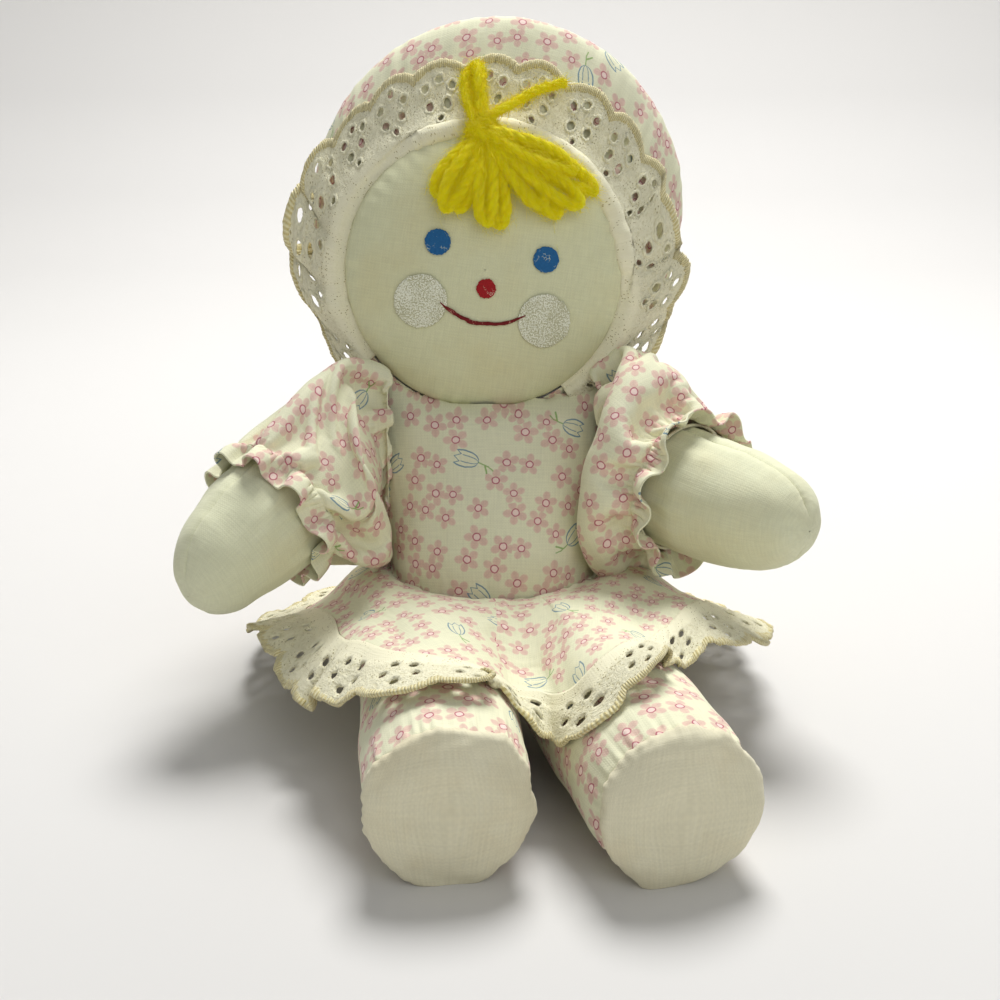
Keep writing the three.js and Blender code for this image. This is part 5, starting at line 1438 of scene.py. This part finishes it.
def let_settle(start, deep_at, spacing, held, lifts, steps, weight, stiff=0.25, puff=0.0, keep=0.0):
    """A ring of cloth, cut to depths and to spaces between its columns, let go from a start grid to settle.

    Its threads keep their lengths, it resists sharp bends, and it is lifted out of what it rests on. The
    share that it keeps of its start lie stands for its starch."""
    pinned = start[:, :-1]
    place, before = pinned.copy(), pinned.copy()
    free = (1 - held[:, :-1])[..., None]
    columns = place.shape[1]
    wide = np.broadcast_to(spacing, place.shape[:2])[..., None]
    deep_at = np.broadcast_to(np.asarray(deep_at, float), (columns, len(place))).T[..., None]
    deep = np.diff(deep_at, axis=0)
    index = np.arange(columns)
    slants = {shift: np.hypot(deep, wide[1:]) if np.ndim(spacing) == 0 else np.linalg.norm(
        np.roll(place[1:], -shift, 1) - place[:-1], axis=-1, keepdims=True) for shift in (1, -1)}

    def draw(first, second, length, share):
        gap = second - first
        size = np.maximum(np.linalg.norm(gap, axis=-1, keepdims=True), 1e-6)
        return gap * (0.5 * share * (size - length) / size)

    for _ in range(steps):
        speed = (place - before) * 0.93
        before = place.copy()
        place = place + (speed + np.array([0, 0, -weight]) + (pinned - place) * keep) * free
        if puff:
            out = np.cross(np.roll(place, -1, 1) - np.roll(place, 1, 1), np.gradient(place, axis=0))
            place += out / np.maximum(np.linalg.norm(out, axis=2, keepdims=True), 1e-6) * puff * free
        for _ in range(4):
            for parity in (0, 1):
                here, there = index[parity::2], (index[parity::2] + 1) % columns
                move = draw(place[:, here], place[:, there], wide[:, here], 0.95)
                place[:, here] += move * free[:, here]
                place[:, there] -= move * free[:, there]
                move = draw(place[parity:-1:2], place[parity + 1::2], deep[parity::2], 0.95)
                place[parity:-1:2] += move * free[parity:-1:2]
                place[parity + 1::2] -= move * free[parity + 1::2]
            for shift in (1, -1):
                other = np.roll(place[1:], -shift, 1)
                move = draw(place[:-1], other, slants[shift], 0.22)
                place[:-1] += move * free[:-1]
                place[1:] -= np.roll(move, shift, 1) * free[1:]
            for reach in ((4, 8, 16) if stiff > 1 else (4, 8)):
                far = np.roll(place, -reach, 1)
                move = draw(place, far, reach * wide, stiff / reach)
                place += (move - np.roll(move, reach, 1)) * free * 0.5
                move = draw(place[:-reach], place[reach:], deep_at[reach:] - deep_at[:-reach], stiff / reach)
                place[:-reach] += move * free[:-reach] * 0.5
                place[reach:] -= move * free[reach:] * 0.5
        for lift in lifts:
            place = lift(place)
        place = pinned * (1 - free) + place * free
    return np.concatenate([place, place[:, :1]], axis=1)


def sleeve_frame(side):
    """The sleeve's middle line and its cross directions, at even shares from the armhole to its edge."""
    sign, start, end, arch, cuff = ARMS[side]
    axes = limb_frame(start, end)
    length = np.linalg.norm(end - start)
    cuff_middle = start + np.array([cuff * length, 0, arm_ring(cuff, arch)[2]]) @ axes
    armhole = ARMHOLE_MIDDLE * [sign, 1, 1]
    line = curve([armhole, [sign * (SHOULDER_HALF + 3), SHOULDER_Y, SHOULDER_Z - 4],
                  mix(armhole, cuff_middle, 0.62), cuff_middle, cuff_middle + axes[0] * CUFF_FRILL], 401)
    ahead = mix(np.array([sign, 0, 0.0]), axes[0], smooth(np.linspace(0, 1, 401)[:, None], 0, 0.7))
    ahead /= np.linalg.norm(ahead, axis=1, keepdims=True)
    across = np.cross([0, 0, 1.0], ahead)
    across /= np.linalg.norm(across, axis=1, keepdims=True)
    return line, across, np.cross(ahead, across)


def sleeve_points(side, turn, s, wide, high):
    middle, across, up = (along_line(field, np.linspace(0, 1, 401), s) for field in sleeve_frame(side))
    return middle + across * (wide * np.cos(turn))[..., None] + up * (high * np.sin(turn))[..., None]


def sleeve_size(s):
    swelling, drawn = smooth(s, 0, 0.4), smooth(s, 0.42, CUFF_AT)
    high = mix(mix(ARMHOLE_HIGH, SLEEVE_HIGH, swelling), CUFF_RADIUS, drawn)
    wide = mix(mix(ARMHOLE_WIDE, SLEEVE_WIDE, swelling), CUFF_RADIUS, drawn)
    return wide, high


PUFF_ROWS, FRILL_ROWS, FINE_ROUND, ALONG = 36, 7, 541, 66
CLOTH_THICK, HEM_THICK = 0.35, 0.5
for side, (sign, *_) in ARMS.items():
    key = 500 + 40 * (sign > 0)
    turn, s = np.meshgrid(np.linspace(0, FULL_TURN, 181), np.concatenate([
        np.linspace(0.02, CUFF_AT, PUFF_ROWS), np.linspace(CUFF_AT, 1, FRILL_ROWS)[1:]]))
    grid = sleeve_points(side, turn, s, *sleeve_size(s))
    centre = sleeve_points(side, turn, s, 0 * s, 0 * s)
    out = (grid - centre) / np.linalg.norm(grid - centre, axis=2, keepdims=True)
    middle = np.sin(math.pi * np.clip(s / CUFF_AT, 0, 1))
    beyond = np.clip((s - CUFF_AT) / (1 - CUFF_AT), 0, 1)
    relief = middle * 0.8 * ripples(turn, 7, key, 0.4)
    relief += np.exp(-np.abs(CUFF_AT - s) * ALONG / 6) * 0.7 * ripples(turn, 19, key + 2, 0.3)
    for turn_a, s_a, turn_b, s_b, high_fold in FOLDS[side]:
        line = np.array([turn_b - turn_a, (s_b - s_a) * 4])
        spot = np.stack([turn - turn_a, (s - s_a) * 4], -1)
        share = np.clip(spot @ line / (line @ line), 0, 1)
        off = np.linalg.norm(spot - share[..., None] * line, axis=-1)
        relief += high_fold * np.exp(-(off / 0.42) ** 1.5) * middle
    relief += np.exp(-s * ALONG / 8) * 0.6 * ripples(turn, 16, key + 4, 0.3) + 0.4 + 2.2 * beyond
    grid = grid + out * relief[..., None]
    across_length = np.concatenate([
        np.linspace(0, SLEEVE_LONG, PUFF_ROWS), SLEEVE_LONG + np.linspace(0, FRILL_WIDE, FRILL_ROWS)[1:]])
    held = np.zeros(grid.shape[:2])
    held[[0, PUFF_ROWS - 1]] = 1
    lifts = [outside_body(0.9), outside_head(2.6), outside_arm(side, 1.0)]
    settled = let_settle(grid, across_length, SLEEVE_ROUND / 180, held, lifts, 80, 0.015, 0.5,
                         SLEEVE_PUFF * sign, 0.02)

    def sewn(name, rows, fine, start, long, thick):
        """A part of the settled cloth as a piece with the weave laid along it."""
        grid = refined(settled[rows], fine, FINE_ROUND)
        flat = np.stack(np.meshgrid(np.linspace(0, SLEEVE_ROUND, FINE_ROUND),
                                    np.linspace(start, start + long, fine)), -1)
        return make_sheet(name, grid[order], flat[order], sleeve_print, closed=True, thick=thick)

    order = facing(settled[:PUFF_ROWS], out[:PUFF_ROWS])
    sleeve = sewn(f"sleeve_cloth_{side}", slice(PUFF_ROWS), 106, 0, SLEEVE_LONG, CLOTH_THICK)
    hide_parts(f"sleeve_{side}")
    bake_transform(sleeve)
    frill = sewn(f"cuff_frill_cloth_{side}", slice(PUFF_ROWS - 1, None), 25, SLEEVE_LONG, FRILL_WIDE, HEM_THICK)
    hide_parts(f"cuff_frill_{side}")
    turn = np.linspace(0, FULL_TURN, 361)
    ring = sleeve_points(side, turn, CUFF_AT + 0.02 + 0 * turn, ELASTIC_RING, ELASTIC_RING)
    points, faces, flat = tube_mesh(ring, 0.45, 8)
    elastic = make_mesh(f"cuff_elastic_thread_{side}", points, faces, flat[faces], lace_thread)
    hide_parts(f"cuff_elastic_{side}")
    for piece in (frill, elastic):
        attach(piece, f"arm_{side}")


# Skirt: a flared ring of the printed lawn, gathered into the waist seam and spread over the legs and the
# ground. Its hem is a wide eyelet lace, topstitched on, that stands in waves.
SKIRT_LENGTH, HEM_LACE, HEM_COUNT = 490.0, 17.0, 29
HEM_EYELETS = ((0.0, 4.0, 1.1), (-3.7, 6.6, 1.15), (3.7, 6.6, 1.1), (-2.3, 10.8, 1.15), (2.4, 10.9, 1.2))
LACE_LINE = ((2, -83, 34), (11, -80, 31), (23, -88, 41), (43, -60, 38), (56, -31, 34), (60, 2, 18),
             (48, 36, 6), (20, 56, 3), (-18, 56, 3), (-47, 36, 6), (-56, 4, 16), (-45, -28, 28), (-37, -58, 34),
             (-17, -82, 41))
HEM_LINE = ((3, -97, 36), (11, -88, 22), (26, -104, 40), (44, -76, 34), (72, -45, 28), (77, -2, 14),
            (62, 44, 3), (24, 71, 1.5), (-22, 71, 1.5), (-60, 44, 3), (-72, 0, 12), (-64, -36, 24),
            (-48, -66, 20), (-19, -101, 40))
UPWARD = np.array([0.0, 0.0, 1.0])
skirt_print = printed_cotton("printed cotton lawn of the skirt", 31)
SKIRT_COLUMNS, SKIRT_ROWS, HEM_ROWS = 321, 36, 12
FINE_ROWS, FINE_COLUMNS = 71, 961


def spread_even(line, *beside):
    """Points of a line, and of others beside it, at even steps of the first one's length."""
    walked = walk(line)
    return [along_line(other, walked, np.linspace(0, walked[-1], SKIRT_COLUMNS)) for other in (line, *beside)]


share, across = np.meshgrid(np.linspace(0, 1, SKIRT_COLUMNS), np.concatenate([
    np.linspace(0, 1, SKIRT_ROWS), 1 + np.linspace(0, 1, HEM_ROWS)[1:]]))
lace_line, hem_line = spread_even(curve(LACE_LINE, 1401, closed=True), curve(HEM_LINE, 1401, closed=True))
round_waist = FULL_TURN * (np.linspace(0, 1, 1401) - 0.25)
waist, = spread_even(torso_surface(round_waist, WAIST_HEIGHT + 0 * round_waist, 1.0))
on_skirt, on_lace = np.clip(across, 0, 1)[..., None], np.clip(across - 1, 0, 1)[..., None]
grid = mix(waist, lace_line, on_skirt) + (hem_line - lace_line) * on_lace
grid[..., 2] += 4.5 * np.sin(math.pi * np.minimum(across * 1.3, 1)) * np.exp(-across)
spare = 1 + 0.015 * smooth(across, 0.2, 1) + 0.03 * smooth(across, 1, 2)
spacing = np.linalg.norm(np.diff(grid, axis=1), axis=2) * spare[:, :1]
deep_at = np.stack([walk(line) for line in grid.swapaxes(0, 1)], 1) * 1.02
gathers = 0.35 * np.exp(-across * 9) * ripples(FULL_TURN * share, 31, 601, 0.6)
broad = 1.7 * smooth(across, 0.25, 1.1) * ripples(FULL_TURN * share, 9, 602, 0.6)
grid = grid + outwards(grid, grid - UPWARD) * (gathers + broad)[..., None]
grid[..., 2] = np.maximum(grid[..., 2], 2.0)
held = np.zeros(grid.shape[:2])
held[0] = 1


def above_ground(points):
    points[..., 2] = np.maximum(points[..., 2], 0.8)
    return points


lifts = [outside_body(0.9), outside_leg("left", 1.4), outside_leg("right", 1.4), above_ground]
settled = let_settle(grid, deep_at[:, :-1].T, spacing, held, lifts, 60, 0.015, 1.5, 0.0, 0.06)
cloth = refined(settled[:SKIRT_ROWS], FINE_ROWS, FINE_COLUMNS)
# Cut as a flared ring, so its threads fan out from the waist
row_lengths = spacing.sum(axis=1)
fan = (row_lengths[SKIRT_ROWS - 1] - row_lengths[0]) / deep_at[SKIRT_ROWS - 1].mean()
turned = np.hstack([np.zeros((SKIRT_ROWS, 1)), np.cumsum(spacing[:SKIRT_ROWS], axis=1)])
turned = (turned / turned[:, -1:] - share[:SKIRT_ROWS]) * fan
lie = refined(np.stack([turned, deep_at[:SKIRT_ROWS]], -1), FINE_ROWS, FINE_COLUMNS)
reach = lie[..., 1] + row_lengths[0] / fan
flat = disk(reach, lie[..., 0] + np.linspace(0, fan, FINE_COLUMNS))
order = facing(cloth, UPWARD)
skirt = make_sheet("skirt_cloth", cloth[order], flat[order], skirt_print, closed=True, thick=CLOTH_THICK)
grid = refined(settled[SKIRT_ROWS - 1:], 23, FINE_COLUMNS)
normal = outwards(grid, grid - UPWARD)
sheet = {"grid": grid + normal * HEM_THICK, "normal": normal, "length": SKIRT_LENGTH, "width": HEM_LACE}
hem, hem_rims = eyelet_lace("hem_lace", sheet, HEM_COUNT, SKIRT_LENGTH / HEM_COUNT, HEM_LACE, HEM_EYELETS, 9)
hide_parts("skirt")
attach(skirt, "torso")
for piece in (hem, hem_rims):
    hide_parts("skirt_lace")
    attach(piece, "torso")
